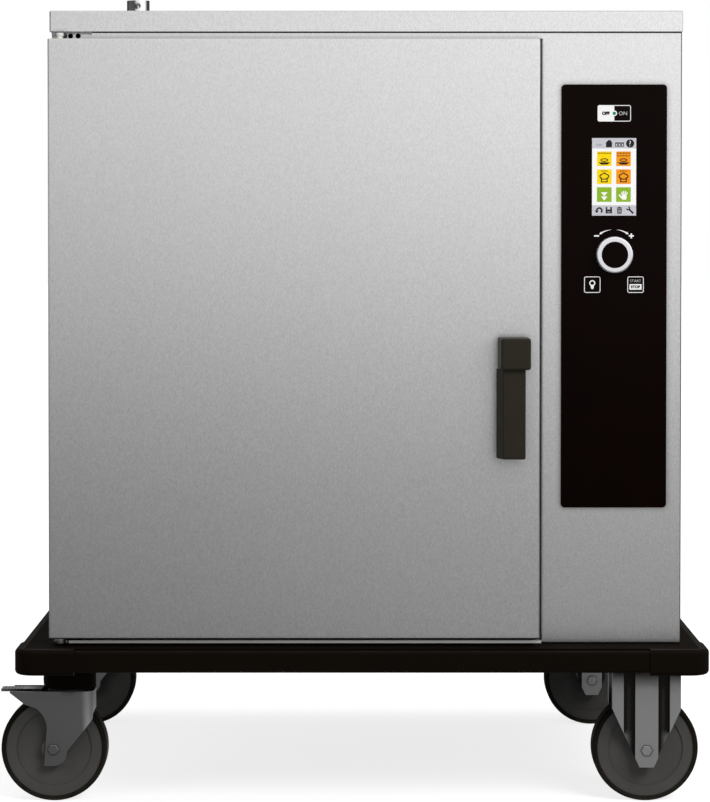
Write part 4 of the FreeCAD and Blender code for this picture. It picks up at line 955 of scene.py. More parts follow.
def seal_tree() -> NodeTree:
    """Sweeps a flat foot and a round bulb along a rounded rectangle in the XZ plane.

    Returns:
        The geometry tree.
    """
    names = ("Width", "Height", "Corner", "Foot Width", "Foot Depth", "Bulb")
    sketch, start, end = geometry_tree("swept_seal", **{name: Socket.VALUE for name in names},
                                       Place=Socket.VECTOR)
    loop, foot = [sketch.add("GeometryNodeCurvePrimitiveQuadrilateral",
                             {"Width": start[width], "Height": start[height]})
                  for width, height in (("Width", "Height"), ("Foot Width", "Foot Depth"))]
    rounded = sketch.add("GeometryNodeFilletCurve", mode="POLY",
                         inputs={"Curve": loop.outputs[0], "Count": 8, "Radius": start["Corner"]})
    bulb = sketch.add("GeometryNodeCurvePrimitiveCircle", {"Resolution": 16, "Radius": start["Bulb"]})
    lift = sketch.add("ShaderNodeCombineXYZ", {"Y": start["Bulb"]})
    raised = sketch.add("GeometryNodeTransform",
                        {"Geometry": bulb.outputs[0], "Translation": lift.outputs[0]})
    both = sketch.add("GeometryNodeJoinGeometry")
    for profile in (foot, raised):
        swept = sketch.add("GeometryNodeCurveToMesh",
                           {"Curve": rounded.outputs[0], "Profile Curve": profile.outputs[0]})
        sketch.feed(both, {0: swept.outputs[0]})
    stance = {"Geometry": both.outputs[0], "Rotation": (math.pi / 2, 0, 0), "Translation": start["Place"]}
    upright = sketch.add("GeometryNodeTransform", stance)
    close_tree(sketch, upright.outputs[0], start["Finish"], end)
    return sketch.tree


SCATTERED = scattered_tree()
ROW = row_tree()
SEAL = seal_tree()


def grown(name: str, tree: NodeTree, inputs: Dict, finish: Material,
          points: Sequence[Vector] = ()) -> Object:
    """Runs a geometry tree once and keeps its result as a plain mesh.

    Args:
        name: Object name.
        tree: The geometry tree.
        inputs: Its input values by name.
        finish: The material that it sets.
        points: Points of the starting mesh, in metres.

    Returns:
        The object at the origin, with no modifier.
    """
    mesh = bpy.data.meshes.new(name)
    mesh.from_pydata([tuple(p) for p in points], [], [])
    piece = new_object(name, mesh, finish)
    modifier = piece.modifiers.new("grown", "NODES")
    modifier.node_group = tree
    values = dict(inputs, Finish=finish)
    for item in tree.interface.items_tree:
        if item.in_out == "INPUT" and item.name in values:
            modifier[item.identifier] = values[item.name]
    result = evaluated_mesh(piece)
    piece.modifiers.clear()
    piece.data = result
    bpy.data.meshes.remove(mesh)
    result.name = name
    return piece


def helper_shape(name: str, mesh: BMesh, turn: Matrix = Matrix.Identity(4)) -> Object:
    """Makes a shape for a tree or a modifier to use.

    Args:
        name: Helper name.
        mesh: The shape in millimetres, which is freed.
        turn: How it is turned.

    Returns:
        The helper object, in metres.
    """
    mesh.transform(turn @ Matrix.Scale(MM, 4))
    helper = bpy.data.objects.new(name, plain_mesh(name, mesh))
    bpy.context.scene.collection.objects.link(helper)
    return helper


def repeated(name: str, shape: BMesh, body: Body, slot: str, turn: Matrix = Matrix.Identity(4),
             points: Sequence[Vector] = (), row: Optional[Dict] = None) -> Object:
    """Repeats one shape as a piece on a body.

    Args:
        name: Piece name.
        shape: The shape in millimetres, which is freed.
        body: The body it rides on.
        slot: The record's slot whose finish it takes.
        turn: How the shape is turned.
        points: Where it goes, in metres.
        row: Start, step and count of an even row, in the place of points.

    Returns:
        The piece.
    """
    helper = helper_shape(name + "_shape", shape, turn)
    piece = grown(name, ROW if row else SCATTERED, dict(row or {}, Shape=helper), PAINT.slot(slot), points)
    discard(helper)
    carry(piece, body)
    return piece


# Sub-assemblies


@dataclass
class Bodywork:
    """Every node of the frame, dressed in the finish of its slot."""

    slots: Dict[str, str]

    @classmethod
    def from_record(cls) -> "Bodywork":
        """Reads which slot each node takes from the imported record."""
        parts = frame["record"]["subparts"]
        return cls({part["node"]: part["material_slot"] for part in parts})

    def dress(self) -> None:
        """Gives each node its material."""
        for node, slot in self.slots.items():
            for place in frame["nodes"][node].material_slots:
                place.material = PAINT.slot(slot)
            LOG.info("%s is finished in %s", node, slot)


@dataclass
class BackCover:
    """Pressed hoods over the louvres of the rear sheet.

    Attributes:
        count: How many louvres there are.
        pitch: Step from one to the next, downwards.
        drop: From the lid's lip down to the first slot's lower edge.
        length: Slot length.
        height: Slot height.
        reach: How far a hood stands off the sheet.
        margin: How far it reaches past the slot's ends.
        rise: How far it reaches above the slot.
        sheet: Its thickness.
        steps: Flats of its curve.
    """

    count: int = 7
    pitch: float = 16.0
    drop: float = 120.0
    length: float = 110.0
    height: float = 6.0
    reach: float = 5.0
    margin: float = 1.5
    rise: float = 2.0
    sheet: float = 1.0
    steps: int = 6

    def build(self) -> None:
        """Makes the row of hoods."""
        back = Extent.of("back_panel")
        middle = (Extent.of("partition_panel").high.x + back.high.x) / 2
        start = Vector((middle, back.high.y, Extent.of("top_lid").low.z - self.drop)) * MM
        repeated("louvre_hoods", self.hood(), Body.CABINET, "satin_steel",
                 row={"Start": start, "Step": (0, 0, -self.pitch * MM), "Count": self.count})

    def hood(self) -> BMesh:
        """Makes one hood: a curved scoop, closed at both ends and open below.

        Returns:
            The hood, in millimetres.
        """
        mesh = bmesh.new()
        half = self.length / 2 + self.margin
        top = self.height + self.rise
        curve = [math.pi / 2 * i / self.steps for i in range(self.steps + 1)]
        loops = []
        for inset in (0.0, self.sheet):
            profile = [((self.reach - inset) * math.sin(t), (top - inset) * math.cos(t)) for t in curve]
            side = half - inset
            loops.append([[mesh.verts.new((x, y, z)) for y, z in profile] for x in (-side, side)])
        outer, inner = loops
        for left, right in (outer, inner):
            for i in range(self.steps):
                mesh.faces.new((left[i], left[i + 1], right[i + 1], right[i]))
        for side in range(2):
            rim = mesh.verts.new((outer[side][-1].co.x, 0, 0))
            lining = mesh.verts.new((inner[side][-1].co.x, 0, 0))
            mesh.faces.new([rim] + outer[side])
            mesh.faces.new([lining] + inner[side])
            mesh.faces.new((rim, outer[side][-1], inner[side][-1], lining))
        mesh.faces.new((outer[0][-1], outer[1][-1], inner[1][-1], inner[0][-1]))
        bmesh.ops.recalc_face_normals(mesh, faces=mesh.faces)
        return mesh


@dataclass
class DoorSeal:
    """Hollow bulb seal round the back of the door.

    Attributes:
        foot_width: Width of the flat foot on the door.
        foot_depth: Thickness of that foot.
        corner: Bend of the seal's middle line at its corners.
    """

    foot_width: float = 12.0
    foot_depth: float = 1.4
    corner: float = 14.0

    def build(self) -> None:
        """Makes the seal in the place of the plain one."""
        band = Extent.of("door_gasket")
        place = Vector((band.middle.x, band.low.y + self.foot_depth / 2, band.middle.z))
        sizes = {"Width": band.size.x - self.foot_width, "Height": band.size.z - self.foot_width,
                 "Corner": self.corner, "Foot Width": self.foot_width, "Foot Depth": self.foot_depth,
                 "Bulb": (band.size.y - self.foot_depth) / 2, "Place": place}
        inputs = {name: size * MM for name, size in sizes.items()}
        piece = grown("door_seal", SEAL, inputs, PAINT.slot("gasket_rubber"))
        carry(piece, Body.DOOR)
        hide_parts("door_gasket")


@dataclass
class DarkStrips:
    """Black strips: one in the gap under the lid's lip, a dark sheet of painted shade where the gap's shadow
    falls, and a thin one that draws a dark line up the column's right edge.

    Attributes:
        setback: How far the strip under the lid lies behind the column's face.
        depth: Depth of that strip.
        edge: Width of the strip up the column's edge.
        proud: How far that one stands before the column's face.
    """

    setback: float = 0.3
    depth: float = 2.0
    edge: float = 0.9
    proud: float = 0.15

    def build(self) -> None:
        """Makes both strips."""
        column = Extent.of("control_fascia")
        lip = Extent.of("top_lid").low.z
        side = Extent.of("right_side_panel").high.x
        # The strip under the lid is painted shade: a dark sheet put in the lid's shadow gap.
        strip = Marks(column.low.y + self.setback + self.depth, self.depth)
        strip.fill(slab(column.middle.x, (column.high.z + lip) / 2, column.size.x, lip - column.high.z))
        bead = Marks(column.low.y + self.depth, self.depth + self.proud)
        bead.fill(slab(side - self.edge / 2, column.middle.z, self.edge, column.size.z))
        for name, marks in (("lid_seal", strip), ("column_seal", bead)):
            marks.finish(name, SLOT_FINISHES["gasket_rubber"], Body.CABINET, "gasket_rubber")


@dataclass
class SillTrim:
    """Thin folded strip on the deck under the door, leaning back a little.

    Attributes:
        inset: Distance of its left end from the door's edge.
        past: How far its right end reaches past the door.
        profile: Its section, as distance behind the column's face and height above the deck.
    """

    inset: float = 21.0
    past: float = 3.6
    profile: Tuple[Point, ...] = ((0.0, 0.0), (-0.3, 0.0), (-0.7, 0.3), (-0.85, 0.8), (-0.45, 4.0),
                                  (0.0, 4.1))

    def build(self) -> None:
        """Makes the strip."""
        door = Extent.of("door_outer_skin")
        column = Extent.of("control_fascia")
        mesh = bmesh.new()
        left, right = [[mesh.verts.new(Vector((x, column.low.y + y, column.low.z + z)) * MM)
                        for y, z in self.profile]
                       for x in (door.low.x + self.inset, door.high.x + self.past)]
        mesh.faces.new(left)
        mesh.faces.new(right[::-1])
        for i in range(len(left)):
            mesh.faces.new((left[i - 1], left[i], right[i], right[i - 1]))
        bmesh.ops.recalc_face_normals(mesh, faces=mesh.faces)
        strip = new_object("sill_trim", plain_mesh("sill_trim", mesh), PAINT.slot("liner_steel"))
        carry(strip, Body.CABINET)


@dataclass
class ControlFace:
    """Printed marks of the keys and the knob.

    Attributes:
        line: Width of a printed outline.
        letter: Height of the letters on the off/on key.
        key_corner: Corner radius of a key's outline.
        key_margin: Distance of the outline from the key's edge.
        lamp_radius: Radius of the small lamp on the off/on key.
        lamp_rise: How far it stands proud.
        halo_radius: Radius of the white ring round the lamp.
        bulb: Height of the light key's bulb over its middle, and its outer and inner radius, in twentieths.
        cap: The bulb's cap, in the same units.
        arrow_radius: Distance of the turn arrows from the knob's middle.
        arrow_turns: Where an arrow starts, where its head starts and where it ends, in degrees from the top.
        arrow_widths: Its width at the start and where the head starts.
        arrow_head: Width of the head.
        arrow_steps: Runs of its curve.
        sign_radius: Distance of the less and more signs from the knob's middle.
        sign_turn: Where they stand, in degrees from the top.
        sign_bar: Length and width of a sign's level bar.
        sign_arm: Height of an upright arm of the more sign, and its distance from the middle.
    """

    line: float = 0.8
    letter: float = 4.3
    key_corner: float = 2.2
    key_margin: float = 2.2
    lamp_radius: float = 2.0
    lamp_rise: float = 0.3
    halo_radius: float = 3.3
    bulb: Triple = (1.9, 3.7, 2.3)
    cap: Tuple[Point, ...] = ((-2.0, -1.2), (-1.6, -4.0), (-0.7, -5.4), (0.7, -5.4), (1.6, -4.0), (2.0, -1.2))
    arrow_radius: float = 29.7
    arrow_turns: Triple = (6, 30, 35.5)
    arrow_widths: Point = (0.15, 1.65)
    arrow_head: float = 3.2
    arrow_steps: int = 12
    sign_radius: float = 30.2
    sign_turn: float = 42.6
    sign_bar: Point = (5.8, 1.7)
    sign_arm: Point = (2.0, 1.87)

    def build(self) -> None:
        """Makes all the marks."""
        self.power_key()
        self.light_key()
        self.start_stop_key()
        self.knob_marks()

    def key_face(self, node: str) -> Tuple[Marks, Vector, float, float]:
        """Starts the marks of a key with its outline.

        Args:
            node: The key.

        Returns:
            The marks, the key's centre, and the outline's width and height.
        """
        key = Extent.of(node)
        width = key.size.x - 2 * self.key_margin
        height = key.size.z - 2 * self.key_margin
        marks = Marks(key.low.y)
        centre = key.middle
        marks.border(slab(centre.x, centre.z, width, height, self.key_corner),
                     slab(centre.x, centre.z, width - 2 * self.line, height - 2 * self.line,
                          self.key_corner - self.line))
        return marks, centre, width, height

    def power_key(self) -> None:
        """Off/on key: a white half, a black half and a ringed lamp between."""
        marks, centre, width, height = self.key_face("power_key")
        half = width / 2 - self.line
        marks.fill(slab(centre.x - half / 2, centre.z, half, height - 2 * self.line))
        marks.fill(arc(centre.x + 0.02, centre.z, self.halo_radius, -90, 90, 14))
        marks.letters("ON", centre.x + width * 0.26, centre.z, self.letter, -0.02)
        marks.finish("power_key_white", WHITE_INK_PAINTED_GLOW, Body.POWER_KEY, "key_black")
        over = Marks(marks.front)
        over.letters("OFF", centre.x - width * 0.255, centre.z, self.letter, 0.085)
        over.finish("power_key_dark", DARK_INK, Body.POWER_KEY, "key_black")
        lamp = Marks(marks.front, self.lamp_rise)
        lamp.fill(disc(centre.x, centre.z, self.lamp_radius))
        lamp.finish("power_key_lamp", GREEN_LAMP, Body.POWER_KEY, "key_black")

    def light_key(self) -> None:
        """Light key: a bulb."""
        marks, centre, _, height = self.key_face("light_key")
        unit = height / 20
        up, outer, inner = self.bulb
        marks.border(*(placed(centre.x, centre.z, unit, disc(0, up, radius)) for radius in (outer, inner)))
        marks.fill(placed(centre.x, centre.z, unit, self.cap))
        marks.finish("light_key_marks", WHITE_INK_PAINTED_GLOW, Body.LIGHT_KEY, "key_black")

    def start_stop_key(self) -> None:
        """Start/stop key: one word above the other, the lower one on white."""
        marks, centre, width, height = self.key_face("start_stop_key")
        low = centre.z - height * 0.138
        marks.letters("START", centre.x, centre.z + height * 0.23, height * 0.155, -0.022)
        marks.fill(slab(centre.x, low, width * 0.74, height * 0.34))
        marks.finish("start_stop_key_white", WHITE_INK_PAINTED_GLOW, Body.START_STOP_KEY, "key_black")
        over = Marks(marks.front)
        over.letters("STOP", centre.x, low, height * 0.19, 0.06)
        over.finish("start_stop_key_dark", DARK_INK, Body.START_STOP_KEY, "key_black")

    def knob_marks(self) -> None:
        """Two tapering arrows over the knob, with less and more at their ends."""
        knob = Extent.of("knob_ring").middle
        marks = Marks(Extent.of("control_panel").low.y)
        near, neck, tip = self.arrow_turns
        thin, thick = self.arrow_widths
        steps = self.arrow_steps
        length, width = self.sign_bar
        arm, lift = self.sign_arm
        for side in (-1, 1):
            line = arc(knob.x, knob.z, self.arrow_radius, 90 - side * near, 90 - side * neck, steps)
            marks.fill(stroke(line, [thin + (thick - thin) * i / steps for i in range(steps + 1)]))
            head = arc(knob.x, knob.z, self.arrow_radius, 90 - side * neck, 90 - side * tip, 1)
            marks.fill(stroke(head, [self.arrow_head, thin]))
            x, z = arc(knob.x, knob.z, self.sign_radius, 90 - side * self.sign_turn, 90, 1)[0]
            marks.fill(slab(x, z, length, width))
            if side > 0:
                for up in (-1, 1):
                    marks.fill(slab(x, z + up * lift, width, arm))
        marks.finish("knob_marks", WHITE_INK_PAINTED_GLOW, Body.CABINET, "panel_black")


class Sign(Enum):
    """Outlines of the display's plain signs, in units of half a bar's height."""

    HOUSE = ((-0.56, -0.70), (0.56, -0.70), (0.56, 0.06), (0.70, 0.06), (0.44, 0.3), (0.44, 0.58),
             (0.24, 0.58), (0.24, 0.50), (0.0, 0.72), (-0.70, 0.06), (-0.56, 0.06))
    DISK = ((-0.58, -0.6), (0.58, -0.6), (0.58, 0.6), (0.26, 0.6), (0.26, 0.12), (-0.3, 0.12), (-0.3, 0.6),
            (-0.58, 0.6))
    BIN = ((-0.38, -0.66), (0.38, -0.66), (0.44, 0.28), (-0.44, 0.28))
    BIN_LID = ((-0.5, 0.34), (0.5, 0.34), (0.5, 0.48), (0.2, 0.48), (0.2, 0.62), (-0.2, 0.62), (-0.2, 0.48),
               (-0.5, 0.48))
    BACK_HEAD = ((-0.78, -0.04), (0.0, -0.04), (-0.39, -0.58))
    BOWL = ((-0.42, -0.24), (-0.2, -0.40), (0.2, -0.40), (0.42, -0.24))


@dataclass
class Screen:
    """What the display shows: two grey bars and six coloured tiles, with plain signs.

    Attributes:
        bar: Height of a bar as a share of the display.
        tile: Width of a tile as a share of the display's width.
        corner: Corner radius of a tile.
        margin: Border left round the picture, and round a bar.
        columns: Centres of the tile columns as shares of the width, from the left.
        rows: Centres of the tile rows as shares of the height, from the top.
        signs: Centres of the bars' signs as shares of the width, from the left.
        sign_down: Centres of the signs as a share of the bar, from the display's edge.
        puffs: A cook's cap as arcs: centre across and up in tile widths, first and last angle.
        fingers: Lean in degrees and length in tile widths of a hand's fingers.
        layer: Thickness of one layer of the picture.
    """

    bar: float = 0.138
    tile: float = 0.33
    corner: float = 0.5
    margin: Point = (0.4, 0.6)
    columns: Point = (0.279, 0.711)
    rows: Triple = (0.268, 0.498, 0.728)
    signs: Four = (0.157, 0.383, 0.621, 0.858)
    sign_down: float = 0.52
    puffs: Tuple[Four, ...] = ((-0.18, 0.02, 70, 290), (0.0, 0.13, 10, 170), (0.18, 0.02, -110, 110))
    fingers: Tuple[Point, ...] = ((-9, 0.24), (1, 0.30), (11, 0.29), (21, 0.22))
    layer: float = 0.04

    def __post_init__(self) -> None:
        """Reads the display's place from the frame."""
        self.glass = Extent.of("display_screen")
        self.unit = self.glass.size.z * self.bar / 2
        self.side = self.glass.size.x * self.tile
        self.top = [self.at(across, self.bar * self.sign_down) for across in self.signs]
        self.foot = [self.at(across, 1 - self.bar * self.sign_down) for across in self.signs]

    def at(self, across: float, down: float) -> Point:
        """The point of the display at a share across and down."""
        return (self.glass.low.x + across * self.glass.size.x, self.glass.high.z - down * self.glass.size.z)

    def tile_at(self, column: int, row: int) -> Point:
        """The middle of a tile."""
        return self.at(self.columns[column], self.rows[row])

    def marks(self, depth: int) -> Marks:
        """Starts marks on a layer of the picture."""
        return Marks(self.glass.low.y - self.layer * depth, self.layer)

    @staticmethod
    def show(marks: Marks, name: str, finish: Print) -> None:
        """Closes marks into a piece of the picture."""
        marks.finish(name, finish, Body.CABINET, "display_glass")

    def build(self) -> None:
        """Makes the picture, layer by layer."""
        width, height = self.glass.size.x, self.glass.size.z
        around, beside = self.margin
        field = self.marks(0)
        field.fill(slab(*self.at(0.5, 0.5), width - around, height - around))
        self.show(field, "screen_field", SCREEN_WHITE)
        bars = self.marks(1)
        for down in (self.bar / 2, 1 - self.bar / 2):
            bars.fill(slab(*self.at(0.5, down), width - beside, height * self.bar - around))
        self.show(bars, "screen_bars", SCREEN_GREY)
        groups = (("screen_tiles_yellow", TILE_YELLOW, ((0, 0), (0, 1))),
                  ("screen_tiles_orange", TILE_ORANGE, ((1, 0), (1, 1))),
                  ("screen_tiles_green", TILE_GREEN, ((0, 2), (1, 2))))
        for name, finish, places in groups:
            tiles = self.marks(1)
            for column, row in places:
                tiles.fill(slab(*self.tile_at(column, row), self.side, self.side, self.corner))
            self.show(tiles, name, finish)
        dark = self.marks(2)
        self.tile_signs(dark)
        self.bar_signs(dark)
        self.show(dark, "screen_dark_signs", DARK_INK)
        clock = self.marks(2)
        clock.letters("12:00", *self.at(self.signs[0], self.bar * 0.66), 2.2, 0.0)
        self.show(clock, "screen_clock", SCREEN_DIM)
        self.light_signs()
        self.fine_signs()

    @staticmethod
    def dashes(marks: Marks, x: float, z: float, width: float, height: float, count: int) -> None:
        """Adds a row of short dashes that reads as one small line.

        Args:
            marks: The marks that they are added to.
            x: Centre across.
            z: Centre height.
            width: Length of the row.
            height: Height of a dash.
            count: How many dashes there are.
        """
        step = width / count
        for index in range(count):
            marks.fill(slab(x + (index - (count - 1) / 2) * step, z, step * 0.55, height))

    def tile_signs(self, marks: Marks) -> None:
        """Adds a dish on each tile of the first row and a cook's cap on each of the second.

        Args:
            marks: The marks that they are added to.
        """
        side = self.side
        for column in range(2):
            x, z = self.tile_at(column, 0)
            for line in range(column + 1):
                self.dashes(marks, x, z + side * (0.38 - 0.17 * line), side * 0.92, side * 0.09, 9)
            marks.fill(placed(x, z, side, Sign.BOWL.value))
            marks.border(oval(x, z - side * 0.09, side * 0.54, side * 0.24),
                         oval(x, z - side * 0.09, side * 0.40, side * 0.10))
            x, z = self.tile_at(column, 1)
            self.dashes(marks, x, z + side * 0.39, side * 0.48, side * 0.08, 5)
            for across, up, start, end in self.puffs:
                puff = arc(x + side * across, z + side * up, side * 0.12, start, end, 10)
                marks.fill(stroke(puff, [side * 0.08] * len(puff)))
            marks.border(slab(x, z - side * 0.26, side * 0.46, side * 0.26),
                         slab(x, z - side * 0.26, side * 0.32, side * 0.12))

    def bar_signs(self, marks: Marks) -> None:
        """Adds house, boxes and help above; back, store, bin and spanner below.

        Args:
            marks: The marks that they are added to.
        """
        unit, top, foot = self.unit, self.top, self.foot
        for place, sign in ((top[1], Sign.HOUSE), (foot[0], Sign.BACK_HEAD), (foot[1], Sign.DISK),
                            (foot[2], Sign.BIN), (foot[2], Sign.BIN_LID)):
            marks.fill(placed(*place, unit, sign.value))
        for step in (-1, 0, 1):
            x, z = top[2][0] + step * unit * 0.56, top[2][1] - unit * 0.2
            marks.border(slab(x, z, unit * 0.5, unit * 0.8),
                         slab(x, z - unit * 0.05, unit * 0.24, unit * 0.46))
        marks.fill(disc(*top[3], unit * 0.76))
        x, z = foot[0]
        back = arc(x + unit * 0.09, z - unit * 0.08, unit * 0.48, -48, 172, 16)
        marks.fill(stroke(back, [unit * 0.30] * len(back)))
        x, z = foot[3]
        marks.fill(stroke(placed(x, z, unit, [(-0.16, 0.16), (0.62, -0.6)]), [unit * 0.32] * 2))
        jaw = arc(x - unit * 0.34, z + unit * 0.34, unit * 0.27, 190, 440, 14)
        marks.fill(stroke(jaw, [unit * 0.24] * len(jaw)))

    def light_signs(self) -> None:
        """Signs in white on the green tiles: a double arrow down and an open hand."""
        marks = self.marks(2)
        side = self.side
        x, z = self.tile_at(0, 2)
        for top in (0.16, -0.13):
            marks.fill(placed(x, z, side, [(-0.23, top), (0, top - 0.27), (0.23, top)]))
        x, z = self.tile_at(1, 2)
        marks.fill(slab(x + side * 0.05, z - side * 0.19, side * 0.34, side * 0.32, side * 0.12))
        for index, (lean, length) in enumerate(self.fingers):
            knuckle = (x + side * (-0.075 + 0.084 * index), z - side * 0.05)
            tip = arc(*knuckle, side * length, 90 - lean, 90, 1)[0]
            marks.fill(stroke([knuckle, tip], [side * 0.074] * 2))
        marks.fill(stroke(placed(x, z, side, [(-0.1, -0.24), (-0.3, 0.0)]), [side * 0.1] * 2))
        self.show(marks, "screen_light_signs", SCREEN_WHITE)

    def fine_signs(self) -> None:
        """Signs in white on the dark ones: the query, the store's label and the bin's slots."""
        marks = self.marks(3)
        unit = self.unit
        marks.letters("?", *self.top[3], unit, -0.01)
        x, z = self.foot[1]
        marks.fill(slab(x, z - unit * 0.32, unit * 0.6, unit * 0.07))
        x, z = self.foot[2]
        for step in (-1, 0, 1):
            marks.fill(slab(x + step * unit * 0.21, z - unit * 0.18, unit * 0.05, unit * 0.6))
        self.show(marks, "screen_fine_signs", SCREEN_WHITE)


@dataclass
class PedalTreads:
    """Pressed ribs across the brake pedals.

    Attributes:
        count: Ribs on a pedal.
        pitch: Step from rib to rib.
        width: Width of a rib.
        rise: Height of a rib.
        inset: Distance of the first rib from the pedal's tip.
        length: Length of a rib.
        slope: Width of a rib's top against its foot.
    """

    count: int = 6
    pitch: float = 4.0
    width: float = 1.8
    rise: float = 0.5
    inset: float = 4.0
    length: float = 18.0
    slope: float = 0.6

    def build(self) -> None:
        """Makes the ribs of both pedals."""
        for node, body in (("front_brake_pedal", Body.FRONT_PEDAL), ("rear_brake_pedal", Body.REAR_PEDAL)):
            pedal = Extent.of(node)
            start = Vector((pedal.low.x + self.inset, pedal.middle.y, pedal.high.z)) * MM
            repeated(node + "_ribs", self.rib(), body, "castor_steel",
                     row={"Start": start, "Step": (self.pitch * MM, 0, 0), "Count": self.count})

    def rib(self) -> BMesh:
        """Makes one rib with sloped sides, lying along Y.

        Returns:
            The rib, in millimetres.
        """
        mesh = bmesh.new()
        bmesh.ops.create_cube(mesh, size=1.0)
        for vert in mesh.verts:
            slope = self.slope if vert.co.z > 0 else 1.0
            width = self.width * slope
            length = self.length - (1 - slope) * self.width
            vert.co = Vector((vert.co.x * width, vert.co.y * length, (vert.co.z + 0.5) * self.rise))
        return mesh


@dataclass
class Fixings:
    """Panel screws and castor bolts in the places of the plain ones, hinge screws and the axles' heads.

    Attributes:
        head_radius: Screw head radius.
        head_height: Screw head height.
        shank_radius: Screw shank radius.
        shank: Screw shank length.
        recess: Width of the cross recess's arms.
        recess_reach: Length of an arm as a share of the head's radius.
        across: Bolt head width across flats.
        bolt_head: Bolt head height.
        chamfer: Height of the bolt head's chamfer.
        washer_radius: Radius of a bolt's washer.
        washer: Thickness of a bolt's washer.
        bolt_radius: Bolt shank radius.
        bolt_shank: Bolt shank length.
        hinge_steps: Places of a hinge's screws along its plate.
        hinge_lift: How far they sit from the door's end.
        hinge_plate: Thickness of the plate.
        hinge_scale: Size of a hinge screw against a panel screw.
        axle_corner: Radius over the corners of an axle's head.
        axle_head: Height of that head.
    """

    head_radius: float = 4.0
    head_height: float = 2.0
    shank_radius: float = 2.0
    shank: float = 4.0
    recess: float = 1.1
    recess_reach: float = 0.62
    across: float = 13.0
    bolt_head: float = 5.0
    chamfer: float = 0.9
    washer_radius: float = 8.0
    washer: float = 1.2
    bolt_radius: float = 4.0
    bolt_shank: float = 2.0
    hinge_steps: Point = (19.5, 28.5)
    hinge_lift: float = 5.0
    hinge_plate: float = 2.0
    hinge_scale: float = 0.75
    axle_corner: float = 6.6
    axle_head: float = 0.9

    def build(self) -> None:
        """Makes the screws, the bolts and the heads."""
        screws: List[Vector] = []
        bolts: List[Vector] = []
        deck_top = Extent.of("chassis_deck").high.z * MM
        for low, high in self.places("fasteners"):
            middle = (low + high) / 2
            if middle.z < deck_top:
                bolts.append(Vector((middle.x, middle.y, low.z + self.bolt_head * MM)))
            else:
                screws.append(Vector((middle.x, high.y - self.head_height * MM, middle.z)))
        for name, shape, points, turn in (("panel_screws", self.screw(), screws, -math.pi / 2),
                                          ("castor_bolts", self.bolt(), bolts, math.pi)):
            piece = repeated(name, shape, Body.CABINET, "bright_steel", Matrix.Rotation(turn, 4, "X"), points)
            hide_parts("fasteners")
        self.hinge_screws()
        for end, body in (("front", Body.FRONT_SWIVEL), ("rear", Body.REAR_SWIVEL)):
            hubs = (end + "_swivel_hub",)
            self.axle_heads(end + "_axle_heads", end + "_castor_axle", hubs, body, "castor_steel")
        fixed = ("front_fixed_hub", "rear_fixed_hub")
        self.axle_heads("fixed_axle_heads", "fixed_castor_axles", fixed, Body.CABINET, "bracket_steel")

    def axle_heads(self, name: str, node: str, hubs: Sequence[str], body: Body, slot: str) -> None:
        """Hexagon heads on both ends of each axle.

        Args:
            name: Piece name.
            node: The axles.
            hubs: The wheels that turn on them.
            body: The body they ride on.
            slot: The record's slot they belong to.
        """
        axles = self.places(node)
        points: List[Vector] = []
        for hub in hubs:
            middle = Extent.of(hub).middle * MM
            low, high = min(axles, key=lambda box: abs((box[0].y + box[1].y) / 2 - middle.y))
            points += [Vector((middle.x, low.y, middle.z)), Vector((middle.x, high.y, middle.z))]
        corner, height = self.axle_corner, self.axle_head
        head = lathe([(0, -height), (corner * 0.9, -height), (corner, -height * 0.7), (corner, height * 0.7),
                      (corner * 0.9, height), (0, height)], 6)
        repeated(name, head, body, slot, Matrix.Rotation(math.pi / 2, 4, "X"), points)

    def hinge_screws(self) -> None:
        """Blackened screws that hold the hinge plates."""
        door = Extent.of("door_outer_skin")
        plate_left = Extent.of("hinge_brackets").low.x
        face = Extent.of("front_frame").low.y - self.hinge_plate
        heights = (door.high.z + self.hinge_lift, door.low.z - self.hinge_lift)
        points = [Vector((plate_left + step, face, z)) * MM for step in self.hinge_steps for z in heights]
        turn = Matrix.Rotation(math.pi / 2, 4, "X") @ Matrix.Scale(self.hinge_scale, 4)
        repeated("hinge_screws", self.screw(), Body.CABINET, "chassis_paint", turn, points)

    @staticmethod
    def places(node: str) -> List[Tuple[Vector, Vector]]:
        """Finds each separate solid of a node.

        Args:
            node: The node.

        Returns:
            The lowest and highest corner of each, in metres.
        """
        mesh = bmesh.new()
        mesh.from_mesh(frame["nodes"][node].data)
        bmesh.ops.remove_doubles(mesh, verts=mesh.verts, dist=1e-6)
        left = set(mesh.verts)
        found = []
        while left:
            group = [left.pop()]
            for vert in group:
                for edge in vert.link_edges:
                    other = edge.other_vert(vert)
                    if other in left:
                        left.remove(other)
                        group.append(other)
            low = Vector([min(v.co[i] for v in group) for i in range(3)])
            high = Vector([max(v.co[i] for v in group) for i in range(3)])
            found.append((low, high))
        mesh.free()
        return sorted(found, key=lambda box: tuple(box[0]))

    def screw(self) -> BMesh:
        """Makes a pan head screw with a cross recess, its seat at the origin and its head up.

        Returns:
            The screw, in millimetres.
        """
        radius, height = self.head_radius, self.head_height
        rim = arc(radius - height * 0.6, height * 0.4, height * 0.6, 0, 90, 4)
        stem = [(0, -self.shank), (self.shank_radius, -self.shank), (self.shank_radius, 0), (radius, 0)]
        body = helper_shape("screw_head", lathe(stem + rim + [(0, height)], 24))
        arm, half = radius * self.recess_reach, self.recess / 2
        cross = bmesh.new()
        for width, depth in ((arm, half), (half, arm)):
            for vert in bmesh.ops.create_cube(cross, size=2.0)["verts"]:
                vert.co = Vector((vert.co.x * width, vert.co.y * depth, height + vert.co.z * height * 0.55))
        cutter = helper_shape("screw_recess", cross)
        cut = body.modifiers.new("recess", "BOOLEAN")
        cut.object = cutter
        cut.operation = "DIFFERENCE"
        cut.use_self = True
        mesh = bmesh.new()
        mesh.from_mesh(evaluated_mesh(body))
        mesh.transform(Matrix.Scale(1 / MM, 4))
        discard(body)
        discard(cutter)
        return mesh

